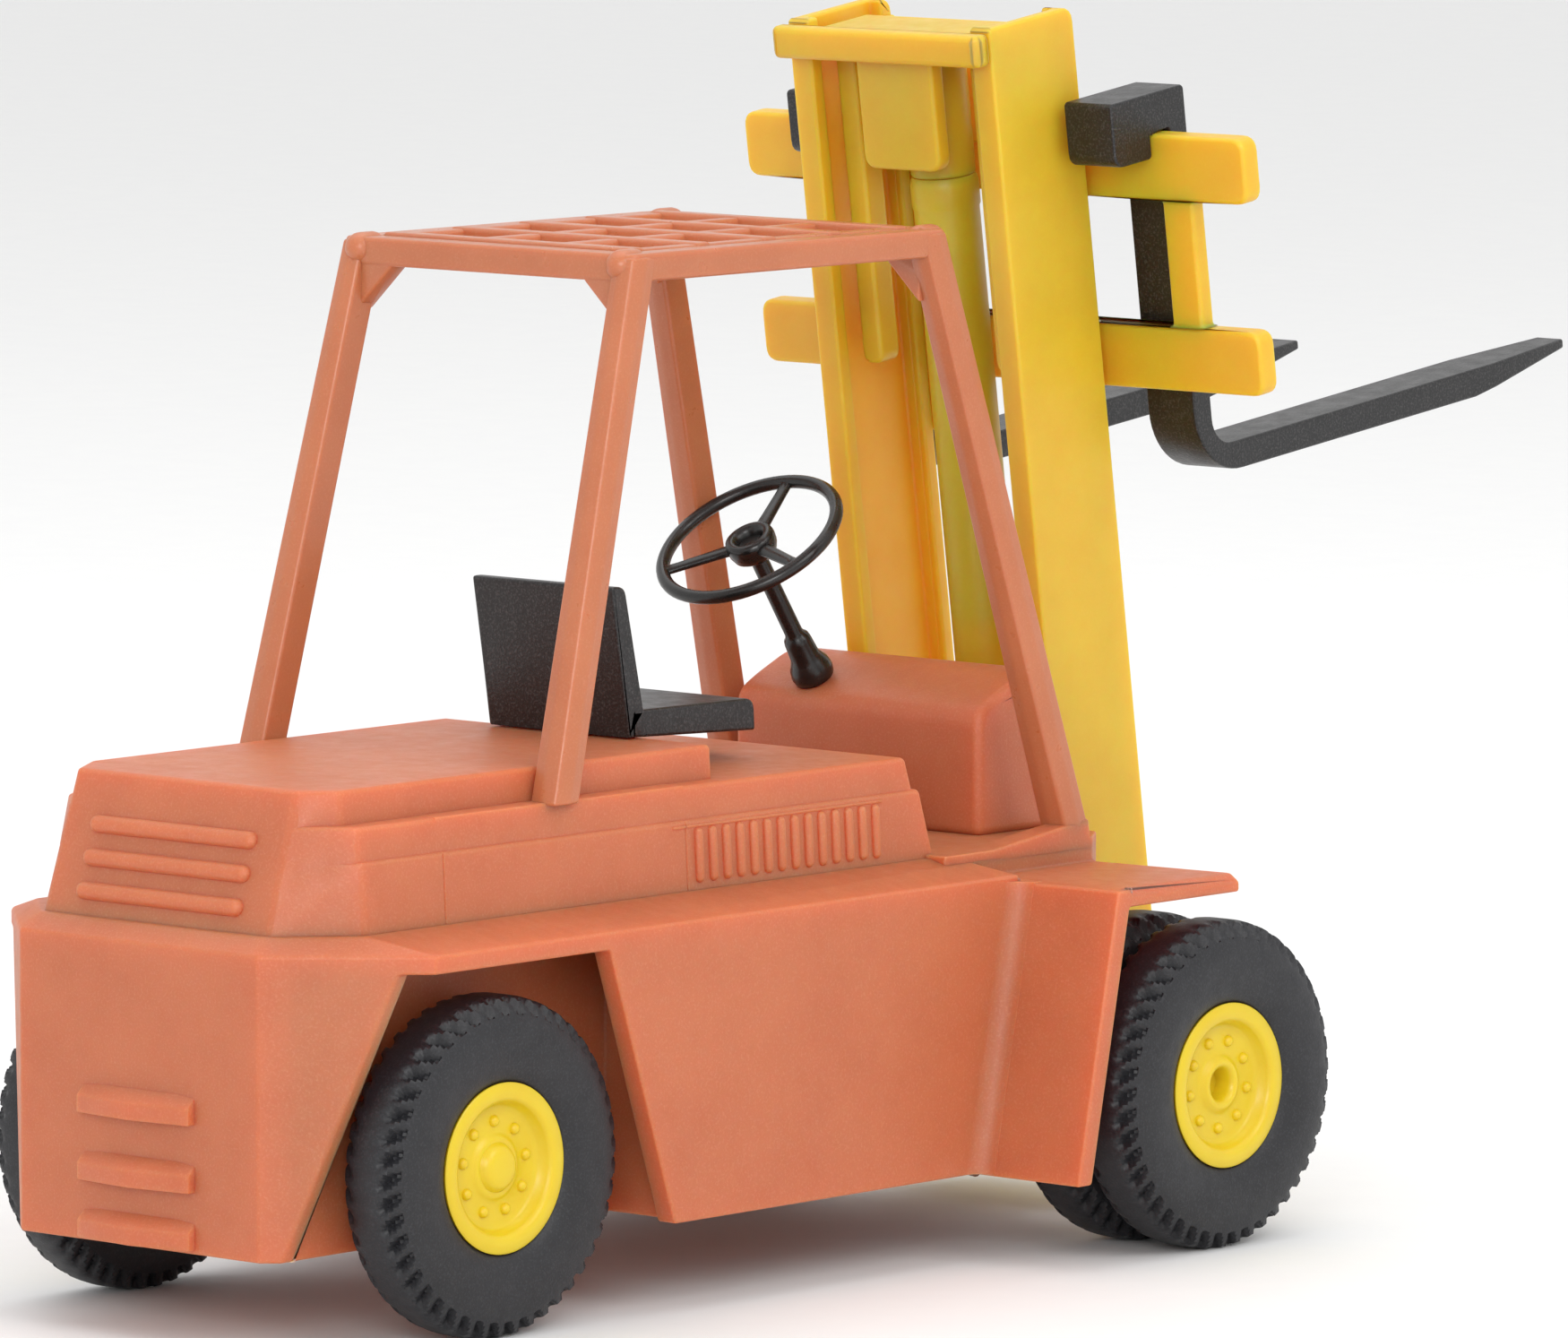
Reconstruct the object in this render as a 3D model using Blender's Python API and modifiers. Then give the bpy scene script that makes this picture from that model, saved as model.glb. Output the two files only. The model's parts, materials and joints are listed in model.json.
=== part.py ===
"""Toy forklift, 1:87 scale: moulded body, overhead guard, seat, steering, wheels, mast, carriage and forks.

Frame: metres, +Z up, ground at Z = 0, forward is -Y, the vehicle's right side is -X. The origin is on the
ground in the middle of the overall length. Sizes below are millimetres of the model. A point is given as
(right, ahead, up): right of the middle plane, ahead of the rear axle, above the ground.
"""

import math

import bmesh
import bpy
from mathutils import Matrix, Vector

MM = 0.001

# Driving dimensions, millimetres
MIDDLE_AHEAD = 20.825         # the origin's distance ahead of the rear axle
WHEELBASE = 25.9
TYRE_R = 4.75
TYRE_WIDTH = 2.2
RIM_R = 2.3
REAR_TYRE_INNER = 5.6        # inner face of a rear tyre, from the middle plane
FRONT_TYRE_INNERS = (7.4, 9.9)
AXLE_R = 0.5
AXLE_FIT = 0.04              # radial clearance of a shaft in its bore
GAP = 0.05                   # clearance between pieces that rest on each other

BODY_HALF = 8.16             # side skirts
BODY_TOP = 11.42
SKIRT_BOTTOM = 2.55
SKIRT_INNER = 7.45           # inside of the side skirts
SKIRT_REAR = (3.7, 6.35)     # ahead: the skirts' slanted rear edge, at its top and its bottom
SKIRT_FRONT = (20.93, 19.22)  # ahead: the skirts' slanted front edge, at its top and its bottom
HOLLOW_TOP = 10.0            # roof of the body's hollows
CUT_BOTTOM = 1.0             # cutters start well below the body
WEIGHT_REAR = -6.62          # rear face of the counterweight
WEIGHT_HALF = 4.55           # half width of that face, between its chamfers
WEIGHT_BOTTOM = 2.55
CHAMFER_AHEAD = -3.34        # where a chamfer meets the side
CHAMFER_WALL = 0.47          # the chamfered wall's thickness, measured ahead
ARCH_LOW, ARCH_HIGH = 5.03, 7.38   # right: the chamfered wall's slanted edge, at its bottom and its top
WELL_INNER = 5.0             # inner wall of the rear wheel wells
WELL_TOP = 10.45
BODY_FRONT = 26.8
NOSE_HALF = 6.9              # body between the front wheels
FENDER_OUTER = 11.85
FENDER_TOP = 10.85
FENDER_THICK = 0.6
FENDER_REAR = (21.05, 19.3)  # ahead: the fender panel's outer rear edge, at its top and its bottom

DECK_TOP = 15.33             # top of the hood
DECK_HALF = 5.2
DECK_FRONT = 11.2
SHOULDER_TOP = 14.4
SHOULDER_HALF = 6.1
SIDE_TOP = 13.5
SIDE_HALF = 6.2
HOOD_FRONT = 19.5
LOUVRES = 14
LOUVRE_FIRST, LOUVRE_LAST = 9.4, 17.0

GUARD_HALF = 5.57
GUARD_REAR, GUARD_FRONT = 7.43, 20.86
GUARD_TOP = 29.36
GUARD_DEEP = 0.8
GUARD_BAR = 0.8

SEAT_HALF = 3.05
COLUMN_RIGHT = -2.6          # the steering column stands left of the middle
COLUMN_AHEAD, COLUMN_UP = 24.5, 15.36
COLUMN_LEAN = 34.0           # degrees, backwards from upright
COLUMN_LENGTH = 5.45
STEERING_R = 2.72
STEERING_WIRE_R = 0.2

PIVOT_AHEAD, PIVOT_UP = 27.9, 5.0
PIN_R = 0.42
LUG_R = 0.75               # round end of a lug, about the pin
MAST_LEAN = 8.0              # degrees, backwards, at rest
RAIL_REAR, RAIL_FRONT = 0.82, 4.55   # ahead of the pivot, square to the mast
RAIL_OUTER, RAIL_INNER, RAIL_WEB = 3.9, 3.1, 3.5
RAIL_BOTTOM, RAIL_TOP = -3.3, 30.0
FLANGE = 0.5
MAST_MIDDLE = 2.68
BARREL_R, ROD_R = 1.0, 0.6
YOKE_BOTTOM, YOKE_TOP = 28.9, 29.75
BAR_REAR, BAR_FRONT = 5.03, 5.75
CARRIAGE_HALF = 9.7
LOWER_BAR = (18.6, 20.5)
UPPER_BAR = (24.25, 26.2)
FORK_INNER, FORK_WIDTH = 4.3, 1.8
FORK_BOTTOM = 15.4
FORK_TIP = 23.3


def start_clean():
    for old in list(bpy.data.objects):
        bpy.data.objects.remove(old, do_unlink=True)
    parts = bpy.data.collections.new("toy_forklift")
    tools = bpy.data.collections.new("cutters")
    for made in (parts, tools):
        bpy.context.scene.collection.children.link(made)
    return parts, tools


PARTS, TOOLS = start_clean()


def material(name, colour, roughness, metallic=0.0):
    made = bpy.data.materials.new(name)
    made.use_nodes = True
    shader = made.node_tree.nodes["Principled BSDF"]
    shader.inputs["Base Color"].default_value = (*colour, 1)
    shader.inputs["Roughness"].default_value = roughness
    shader.inputs["Metallic"].default_value = metallic
    return made


ORANGE = material("orange_plastic", (0.68, 0.17, 0.075), 0.55)
GUARD_ORANGE = material("guard_plastic", (0.70, 0.17, 0.08), 0.35)
YELLOW = material("yellow_plastic", (0.88, 0.50, 0.01), 0.4)
BLACK = material("black_plastic", (0.012, 0.012, 0.012), 0.5)
RUBBER = material("tyre_rubber", (0.02, 0.02, 0.022), 0.8)
STEEL = material("axle_steel", (0.55, 0.55, 0.56), 0.3, 1.0)


def at(right, ahead, up):
    """A vehicle point in the part's frame, in metres."""
    return Vector((-right, MIDDLE_AHEAD - ahead, up)) * MM


def on_mast(right, ahead, up):
    """A point in the mast's own frame, whose origin is the tilt pivot, in metres."""
    return Vector((-right, -ahead, up)) * MM


def new_object(name, bm, tool=False):
    bmesh.ops.recalc_face_normals(bm, faces=bm.faces)
    mesh = bpy.data.meshes.new(name)
    bm.to_mesh(mesh)
    bm.free()
    made = bpy.data.objects.new(name, mesh)
    (TOOLS if tool else PARTS).objects.link(made)
    if tool:
        made.hide_render = True
        made.display_type = "WIRE"
    return made


def finish(made, finish_material, parent=None, smooth_angle=35):
    """Gives a sub-part its material, its shading and its place on a parent."""
    made.data.materials.clear()
    made.data.materials.append(finish_material)
    made.data.shade_smooth()
    made.data.set_sharp_from_angle(angle=math.radians(smooth_angle))
    made.parent = parent
    return made


def hull(name, points, place=at, tool=True):
    """The convex solid over some corner points."""
    bm = bmesh.new()
    for point in points:
        bm.verts.new(place(*point))
    found = bmesh.ops.convex_hull(bm, input=bm.verts)
    loose = [item for item in found["geom_interior"] if isinstance(item, bmesh.types.BMVert)]
    bmesh.ops.delete(bm, geom=loose, context="VERTS")
    return new_object(name, bm, tool)


def box(name, low, high, place=at, tool=True):
    corners = [(x, y, z) for x in (low[0], high[0]) for y in (low[1], high[1]) for z in (low[2], high[2])]
    return hull(name, corners, place, tool)


def prism(name, outline, axis, span, place=at, tool=True):
    """A flat outline drawn square to an axis, 0 right, 1 ahead or 2 up, and pulled along it over a span."""
    bm = bmesh.new()

    def point(pair, along):
        values = list(pair)
        values.insert(axis, along)
        return place(*values)

    face = bm.faces.new([bm.verts.new(point(pair, span[0])) for pair in outline])
    pulled = bmesh.ops.extrude_face_region(bm, geom=[face])
    moved = [item for item in pulled["geom"] if isinstance(item, bmesh.types.BMVert)]
    shift = point(outline[0], span[1]) - point(outline[0], span[0])
    bmesh.ops.translate(bm, verts=moved, vec=shift)
    return new_object(name, bm, tool)


def cylinder(name, start, end, radius, sides=24, place=at, tool=True, end_radius=None):
    """A round bar or a cone between two points."""
    first, last = place(*start), place(*end)
    run = last - first
    bm = bmesh.new()
    bmesh.ops.create_cone(
        bm,
        cap_ends=True,
        segments=sides,
        radius1=radius * MM,
        radius2=(radius if end_radius is None else end_radius) * MM,
        depth=run.length,
    )
    turn = run.to_track_quat("Z", "Y").to_matrix().to_4x4()
    bmesh.ops.transform(bm, matrix=Matrix.Translation((first + last) / 2) @ turn, verts=bm.verts)
    return new_object(name, bm, tool)


def combine(made, others, operation):
    for other in others:
        step = made.modifiers.new(f"{operation.lower()} {other.name}", "BOOLEAN")
        step.operation = operation
        step.object = other
    return made


def join(name, shapes):
    """One closed body from several shapes that run into each other."""
    first = shapes[0]
    first.name = name
    first.data.name = name
    TOOLS.objects.unlink(first)
    PARTS.objects.link(first)
    first.hide_render = False
    first.display_type = "TEXTURED"
    return combine(first, shapes[1:], "UNION")


def cut(made, cutters):
    return combine(made, cutters, "DIFFERENCE")


def turned(name, profile, centre, sides, flip=1):
    """A turned ring about the wheel axle: the profile's points are (radius, distance outwards)."""
    mesh = bpy.data.meshes.new(name)
    bm = bmesh.new()
    rings = [bm.verts.new((radius * MM, 0, out * MM)) for radius, out in profile]
    for first, last in zip(rings, rings[1:] + rings[:1]):
        bm.edges.new((first, last))
    bm.to_mesh(mesh)
    bm.free()
    made = bpy.data.objects.new(name, mesh)
    PARTS.objects.link(made)
    screw = made.modifiers.new("turn", "SCREW")
    screw.steps = screw.render_steps = sides
    screw.use_merge_vertices = True
    screw.merge_threshold = 1e-7
    screw.use_smooth_shade = True
    screw.use_normal_flip = True
    made.matrix_world = Matrix.Translation(centre) @ Matrix.Rotation(math.radians(-90 * flip), 4, "Y")
    return made


# Body ------------------------------------------------------------------------------------------------


def lower_body():
    """Counterweight, side skirts and front fenders, moulded in one piece and open underneath."""
    weight_plan = [
        (-WEIGHT_HALF, WEIGHT_REAR), (WEIGHT_HALF, WEIGHT_REAR), (BODY_HALF, CHAMFER_AHEAD),
        (BODY_HALF, -2.0), (-BODY_HALF, -2.0), (-BODY_HALF, CHAMFER_AHEAD),
    ]
    weight = prism("weight", weight_plan, 2, (WEIGHT_BOTTOM, BODY_TOP))
    skirt_side = [
        (-3.0, SKIRT_BOTTOM), (SKIRT_FRONT[1], SKIRT_BOTTOM), (SKIRT_FRONT[0], WELL_TOP),
        (SKIRT_FRONT[0] + 0.1, BODY_TOP), (-3.0, BODY_TOP),
    ]
    middle = prism("middle", skirt_side, 0, (-BODY_HALF, BODY_HALF))
    nose = box("nose", (-NOSE_HALF, 15, SKIRT_BOTTOM), (NOSE_HALF, BODY_FRONT, BODY_TOP))
    shapes = [weight, middle, nose]
    for side in (-1, 1):
        rear_panel = [
            (side * (BODY_HALF - 1.0), ahead, up)
            for ahead, up in (
                (SKIRT_FRONT[1] - 0.05, SKIRT_BOTTOM), (SKIRT_FRONT[0] - 0.05, FENDER_TOP),
                (SKIRT_FRONT[1] + FENDER_THICK, SKIRT_BOTTOM), (SKIRT_FRONT[0] + FENDER_THICK, FENDER_TOP),
            )
        ] + [
            (side * FENDER_OUTER, ahead, up)
            for ahead, up in (
                (FENDER_REAR[1], 2.5), (FENDER_REAR[0], FENDER_TOP), (FENDER_REAR[1] + FENDER_THICK, 2.5),
                (FENDER_REAR[0] + FENDER_THICK, FENDER_TOP),
            )
        ]
        shapes.append(hull(f"fender panel {side}", rear_panel))
        top_plan = [
            (side * 6.0, 18.5), (side * (BODY_HALF - 0.3), 20.5), (side * FENDER_OUTER, FENDER_REAR[0]),
            (side * FENDER_OUTER, 26.5), (side * 6.0, 26.5),
        ]
        shapes.append(prism(f"fender top {side}", top_plan, 2, (FENDER_TOP - FENDER_THICK, FENDER_TOP)))
    for up in (5.75, 4.05, 2.55):
        rib_plan = [(-2.46, -6.4), (-2.46, -6.85), (0, -7.1), (2.46, -6.85), (2.46, -6.4)]
        shapes.append(prism(f"chevron {up}", rib_plan, 2, (up, up + 0.75)))
    body = join("lower_body", shapes)
    cutters = []
    for side in (-1, 1):
        lean = (CHAMFER_AHEAD - WEIGHT_REAR) / (BODY_HALF - WEIGHT_HALF)
        wall = [
            (side * right, WEIGHT_REAR + CHAMFER_WALL + lean * (right - WEIGHT_HALF))
            for right in (WELL_INNER, SKIRT_INNER)
        ]
        well_plan = [*wall, (side * SKIRT_INNER, 6.9), (side * WELL_INNER, 6.9)]
        cutters.append(prism(f"well {side}", well_plan, 2, (CUT_BOTTOM, WELL_TOP)))
        opening = [
            (-5.0, CUT_BOTTOM), (-5.0, WELL_TOP), (SKIRT_REAR[0], WELL_TOP), (SKIRT_REAR[1], SKIRT_BOTTOM),
            (SKIRT_REAR[1], CUT_BOTTOM),
        ]
        span = (side * (SKIRT_INNER - 0.1), side * (BODY_HALF + 0.5))
        cutters.append(prism(f"wheel opening {side}", opening, 0, span))
        slope = [
            (side * ARCH_LOW, CUT_BOTTOM), (side * ARCH_LOW, WEIGHT_BOTTOM), (side * ARCH_HIGH, WELL_TOP),
            (side * 12, WELL_TOP), (side * 12, CUT_BOTTOM),
        ]
        cutters.append(prism(f"arch {side}", slope, 1, (-8.5, -2.5)))
    cutters.append(box("hollow", (-SKIRT_INNER, 7.8, CUT_BOTTOM), (SKIRT_INNER, 18.2, HOLLOW_TOP)))
    cutters.append(box("rear hollow", (-4.2, -5.0, CUT_BOTTOM), (4.2, 8.0, HOLLOW_TOP)))
    cutters.append(box("front hollow", (-6.1, 17.0, CUT_BOTTOM), (6.1, 25.5, HOLLOW_TOP)))
    for name, ahead in (("rear", 0.0), ("front", WHEELBASE)):
        cutters.append(
            cylinder(f"{name} bore", (-8, ahead, TYRE_R), (8, ahead, TYRE_R), AXLE_R + AXLE_FIT)
        )
    return finish(cut(body, cutters), ORANGE)


def hood():
    """The stepped engine hood with its rear ribs and side louvres."""
    low = BODY_TOP + GAP

    def slab(name, bottom, top, rear, half, corner, front):
        """A layer of the hood; rear, half, corner and front are pairs for its bottom and its top."""
        points = []
        for level, index in ((bottom, 0), (top, 1)):
            for side in (-1, 1):
                points.append((side * half[index][0], rear[index], level))
                points.append((side * half[index][1], corner[index], level))
                points.append((side * half[index][1], front[index], level))
        return hull(name, points)

    side = slab("side", low, SIDE_TOP, (-5.91, -5.27), ((4.28, SIDE_HALF + 0.1), (4.21, SIDE_HALF)),
                (-4.25, -4.3), (HOOD_FRONT, HOOD_FRONT - 0.5))
    shoulder = slab("shoulder", SIDE_TOP - 0.3, SHOULDER_TOP, (-5.36, -4.98),
                    ((4.22, SHOULDER_HALF), (4.19, SHOULDER_HALF)), (-4.35, -4.3), (18.75, 18.4))
    deck = slab("deck", SHOULDER_TOP - 0.3, DECK_TOP, (-5.07, -4.69),
                ((4.19, DECK_HALF), (4.16, DECK_HALF)), (-4.25, -4.1), (DECK_FRONT, DECK_FRONT))
    shapes = [side, shoulder, deck]
    for index, (ahead, up) in enumerate(((-5.08, 13.9), (-5.36, 13.0), (-5.65, 12.1))):
        shapes.append(cylinder(f"rear rib {index}", (-3.1, ahead, up), (3.1, ahead, up), 0.28, 8))
    pitch = (LOUVRE_LAST - LOUVRE_FIRST) / (LOUVRES - 1)
    for index in range(LOUVRES):
        ahead = LOUVRE_FIRST + index * pitch
        for right in (-SIDE_HALF, SIDE_HALF):
            outward = math.copysign(0.16, right)
            shapes.append(
                box(f"louvre {index} {right}", (right - 2 * outward, ahead - 0.13, 11.75),
                    (right + outward, ahead + 0.13, 13.2))
            )
    return finish(join("hood", shapes), ORANGE)


def cab_floor():
    """The floor between the hood and the dash, with a raised sill on each side."""
    low = BODY_TOP + GAP
    start = HOOD_FRONT + 0.1
    floor = box("floor", (-6.9, start, low), (6.9, BODY_FRONT, low + 0.35))
    sills = [
        box(f"sill {side}", (side * 6.3, start, low + 0.05), (side * 6.9, BODY_FRONT, low + 0.75))
        for side in (-1, 1)
    ]
    return finish(join("cab_floor", [floor, *sills]), ORANGE)


def dash_panel():
    """The cowl in front of the driver."""
    low = BODY_TOP + 0.35 + 2 * GAP
    side_view = [(24.0, low), (24.0, 14.7), (24.2, 15.05), (25.4, 15.8), (26.1, 16.15), (BODY_FRONT, 16.1),
                 (BODY_FRONT, low)]
    return finish(prism("dash_panel", side_view, 0, (-4.6, 4.6), tool=False), ORANGE)


def chassis_plate():
    """The plate that closes the body underneath, with two saddles that hold the axles and the mast lugs."""
    low, high = 3.0, 3.7
    plan = [
        (-2.5, -4.9), (2.5, -4.9), (2.5, 2.8), (4.1, 2.8), (4.1, 25.4), (-4.1, 25.4), (-4.1, 2.8),
        (-2.5, 2.8),
    ]
    plate = prism("plate", plan, 2, (low, high))
    rear_saddle = box("rear saddle", (-1.4, -1.3, low), (1.4, 1.3, 6.2))
    front_saddle = box("front saddle", (-3.0, WHEELBASE - 1.3, low), (3.0, 25.45, 6.4))
    shapes = [plate, rear_saddle, front_saddle]
    plate_node = join("chassis_plate", shapes)
    bores = [
        cylinder("plate rear bore", (-5, 0, TYRE_R), (5, 0, TYRE_R), AXLE_R + AXLE_FIT),
        box("front slot", (-5, 25.2, 4.0), (5, 27, 7)),
    ]
    return finish(cut(plate_node, bores), ORANGE)


# Overhead guard --------------------------------------------------------------------------------------


def guard_posts():
    """The posts as (name, foot corner, top corner, foot size, top size), for the right side."""
    return (
        ("rear", (5.25, 3.8, SHOULDER_TOP + GAP), (4.8, 7.5, GUARD_TOP - 0.2), (0.95, 1.15), (0.76, 0.95)),
        ("front", (5.6, 25.0, 12.3), (4.8, 19.8, GUARD_TOP - 0.2), (0.95, 1.1), (0.76, 0.95)),
    )


def roof_guard():
    """Four leaning posts, the roof frame and its corner gussets, moulded in one piece."""
    low = GUARD_TOP - GUARD_DEEP
    inner = GUARD_HALF - GUARD_BAR
    frame = box("frame", (-GUARD_HALF, GUARD_REAR, low), (GUARD_HALF, GUARD_FRONT, GUARD_TOP))
    shapes = []
    for side in (-1, 1):
        for name, foot, top, foot_size, top_size in guard_posts():
            corners = []
            for corner, size in ((foot, foot_size), (top, top_size)):
                for right in (corner[0], corner[0] + size[0]):
                    for ahead in (corner[1], corner[1] + size[1]):
                        corners.append((side * right, ahead, corner[2]))
            shapes.append(hull(f"{name} post {side}", corners))
        for name, ahead in (("rear", GUARD_REAR + 0.05), ("front", GUARD_FRONT - 0.85)):
            gusset = [(side * (inner + 0.3), low - 1.3), (side * (inner + 0.3), low + 0.3),
                      (side * (inner - 1.1), low + 0.3), (side * (inner - 1.1), low)]
            shapes.append(prism(f"{name} gusset {side}", gusset, 1, (ahead, ahead + 0.7)))
    opening = box("roof opening", (-inner, GUARD_REAR + GUARD_BAR, low - 0.5),
                  (inner, GUARD_FRONT - GUARD_BAR, GUARD_TOP + 1))
    guard = cut(join("roof_guard", [frame]), [opening])
    return finish(combine(guard, shapes, "UNION"), GUARD_ORANGE)


def roof_grille():
    """The lattice that drops into the roof frame."""
    inner = GUARD_HALF - GUARD_BAR - GAP
    rear, front = GUARD_REAR + GUARD_BAR + GAP, GUARD_FRONT - GUARD_BAR - GAP
    low, high = GUARD_TOP - 0.45, GUARD_TOP - 0.05
    shapes = []
    for index in range(4):
        right = -inner + (2 * inner - 0.55) * index / 3
        shapes.append(box(f"long bar {index}", (right, rear, low), (right + 0.55, front, high)))
    for index in range(5):
        ahead = rear + (front - rear - 0.6) * index / 4
        shapes.append(
            box(f"cross bar {index}", (-inner, ahead, low + 0.03), (inner, ahead + 0.6, high - 0.03))
        )
    return finish(join("roof_grille", shapes), GUARD_ORANGE)


# Driver's place --------------------------------------------------------------------------------------


def seat():
    """The one-piece seat: a leaning backrest and a flat cushion."""
    low = DECK_TOP + GAP
    back = hull("back", [
        (side * half, ahead, up)
        for side in (-1, 1)
        for half, ahead, up in (
            (2.95, 10.3, low), (2.95, 11.2, low), (SEAT_HALF, 9.8, 19.5), (SEAT_HALF, 10.4, 19.5),
        )
    ])
    cushion = box("cushion", (-SEAT_HALF, 10.4, low), (SEAT_HALF, 15.2, low + 0.75))
    return finish(join("seat", [back, cushion]), BLACK)


def column_point(distance):
    lean = math.radians(COLUMN_LEAN)
    return (COLUMN_RIGHT, COLUMN_AHEAD - distance * math.sin(lean), COLUMN_UP + distance * math.cos(lean))


def steering_column():
    shapes = [
        cylinder("column base", column_point(0.0), column_point(0.75), 0.62, 16, end_radius=0.5),
        cylinder("column collar", column_point(0.6), column_point(1.5), 0.46, 16, end_radius=0.42),
        cylinder("column rod", column_point(1.4), column_point(COLUMN_LENGTH - 0.28), 0.26, 12),
    ]
    return finish(join("steering_column", shapes), BLACK)


def steering_wheel():
    """Rim, three spokes and hub, on the column's axis."""
    sides, tube_sides = 28, 8
    bm = bmesh.new()
    rings = []
    for step in range(sides):
        turn = 2 * math.pi * step / sides
        ring = []
        for tube in range(tube_sides):
            angle = 2 * math.pi * tube / tube_sides
            reach = STEERING_R + STEERING_WIRE_R * math.cos(angle)
            ring.append(bm.verts.new(Vector((
                reach * math.cos(turn), reach * math.sin(turn), STEERING_WIRE_R * math.sin(angle),
            )) * MM))
        rings.append(ring)
    for ring, following in zip(rings, rings[1:] + rings[:1]):
        for tube in range(tube_sides):
            after = (tube + 1) % tube_sides
            bm.faces.new((ring[tube], following[tube], following[after], ring[after]))
    rim = new_object("rim", bm, True)

    def flat(x, y, z):
        return Vector((x, y, z)) * MM

    hub = cylinder("hub", (0, 0, -0.5), (0, 0, 0.12), 0.62, 16, place=flat)
    spokes = []
    for index in range(3):
        angle = math.radians(90 + 120 * index)
        end = (STEERING_R * math.cos(angle), STEERING_R * math.sin(angle), 0)
        spokes.append(cylinder(f"spoke {index}", (0, 0, -0.12), end, 0.19, 8, place=flat))
    made = join("steering_wheel", [hub, rim, *spokes])
    bore = cylinder("hub bore", (0, 0, -1), (0, 0, -0.2), 0.26 + AXLE_FIT, 12, place=flat)
    cut(made, [bore])
    lean = math.radians(COLUMN_LEAN)
    place = Matrix.Translation(at(*column_point(COLUMN_LENGTH))) @ Matrix.Rotation(-lean, 4, "X")
    for piece in (made, rim, *spokes, bore):
        piece.matrix_world = place
    return finish(made, BLACK)


# Wheels ----------------------------------------------------------------------------------------------


def wheel_profiles():
    half = TYRE_WIDTH / 2
    tyre = [
        (TYRE_R, 0.62 * half), (TYRE_R - 0.25, 0.9 * half), (3.6, half), (RIM_R + 0.35, 0.92 * half),
        (RIM_R + GAP, 0.75 * half), (RIM_R + GAP, -0.75 * half), (3.6, -half), (TYRE_R - 0.25, -0.9 * half),
        (TYRE_R, -0.62 * half),
    ]
    rim = [
        (RIM_R, 0.8 * half), (RIM_R - 0.35, 0.8 * half), (RIM_R - 0.4, 0.45 * half), (0.95, 0.45 * half),
        (0.75, 0.65 * half), (AXLE_R + AXLE_FIT, 0.65 * half), (AXLE_R + AXLE_FIT, -0.7 * half),
        (RIM_R, -0.7 * half),
    ]
    return tyre, rim


def wheel(name, side, inner, ahead):
    tyre, rim = wheel_profiles()
    centre = at(side * (inner + TYRE_WIDTH / 2), ahead, TYRE_R)
    finish(turned(f"{name}_tyre", tyre, centre, 32, side), RUBBER)
    finish(turned(f"{name}_rim", rim, centre, 24, side), YELLOW)


def wheels():
    for word, side in (("left", -1), ("right", 1)):
        wheel(f"rear_{word}", side, REAR_TYRE_INNER, 0.0)
        for place, inner in zip(("inner", "outer"), FRONT_TYRE_INNERS):
            wheel(f"front_{word}_{place}", side, inner, WHEELBASE)
    for name, ahead, reach in (("rear_axle", 0.0, 7.35), ("front_axle", WHEELBASE, 11.65)):
        shaft = cylinder(name, (-reach, ahead, TYRE_R), (reach, ahead, TYRE_R), AXLE_R, 16, tool=False)
        finish(shaft, STEEL)


def rear_axle_housing():
    """The round-bottomed housing that carries the rear axle under the counterweight."""
    radius, top = 2.65, 9.6
    outline = [(radius * math.cos(math.radians(a)), TYRE_R + radius * math.sin(math.radians(a)))
               for a in range(180, 361, 20)]
    outline = [(-radius, top), *outline, (radius, top)]
    shapes = [prism(f"lobe {side}", outline, 0, (side * 2.6, side * 4.1)) for side in (-1, 1)]
    bridge = box("bridge", (-3.0, -radius + 0.3, 6.6), (3.0, radius - 0.3, top))
    housing = join("rear_axle_housing", [bridge, *shapes])
    bore = cylinder("housing bore", (-5, 0, TYRE_R), (5, 0, TYRE_R), AXLE_R + AXLE_FIT)
    return finish(cut(housing, [bore]), ORANGE)


# Mast ------------------------------------------------------------------------------------------------


def mast_pivot():
    pivot = bpy.data.objects.new("mast_pivot", None)
    PARTS.objects.link(pivot)
    pivot.location = at(0, PIVOT_AHEAD, PIVOT_UP)
    pivot.rotation_euler = (math.radians(-MAST_LEAN), 0, 0)
    return pivot


def place_on(parent, made):
    """Hangs a sub-part and the tools of its modifiers on a parent empty."""
    made.parent = parent
    for step in made.modifiers:
        if step.type == "BOOLEAN":
            step.object.parent = parent
    return made


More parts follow.
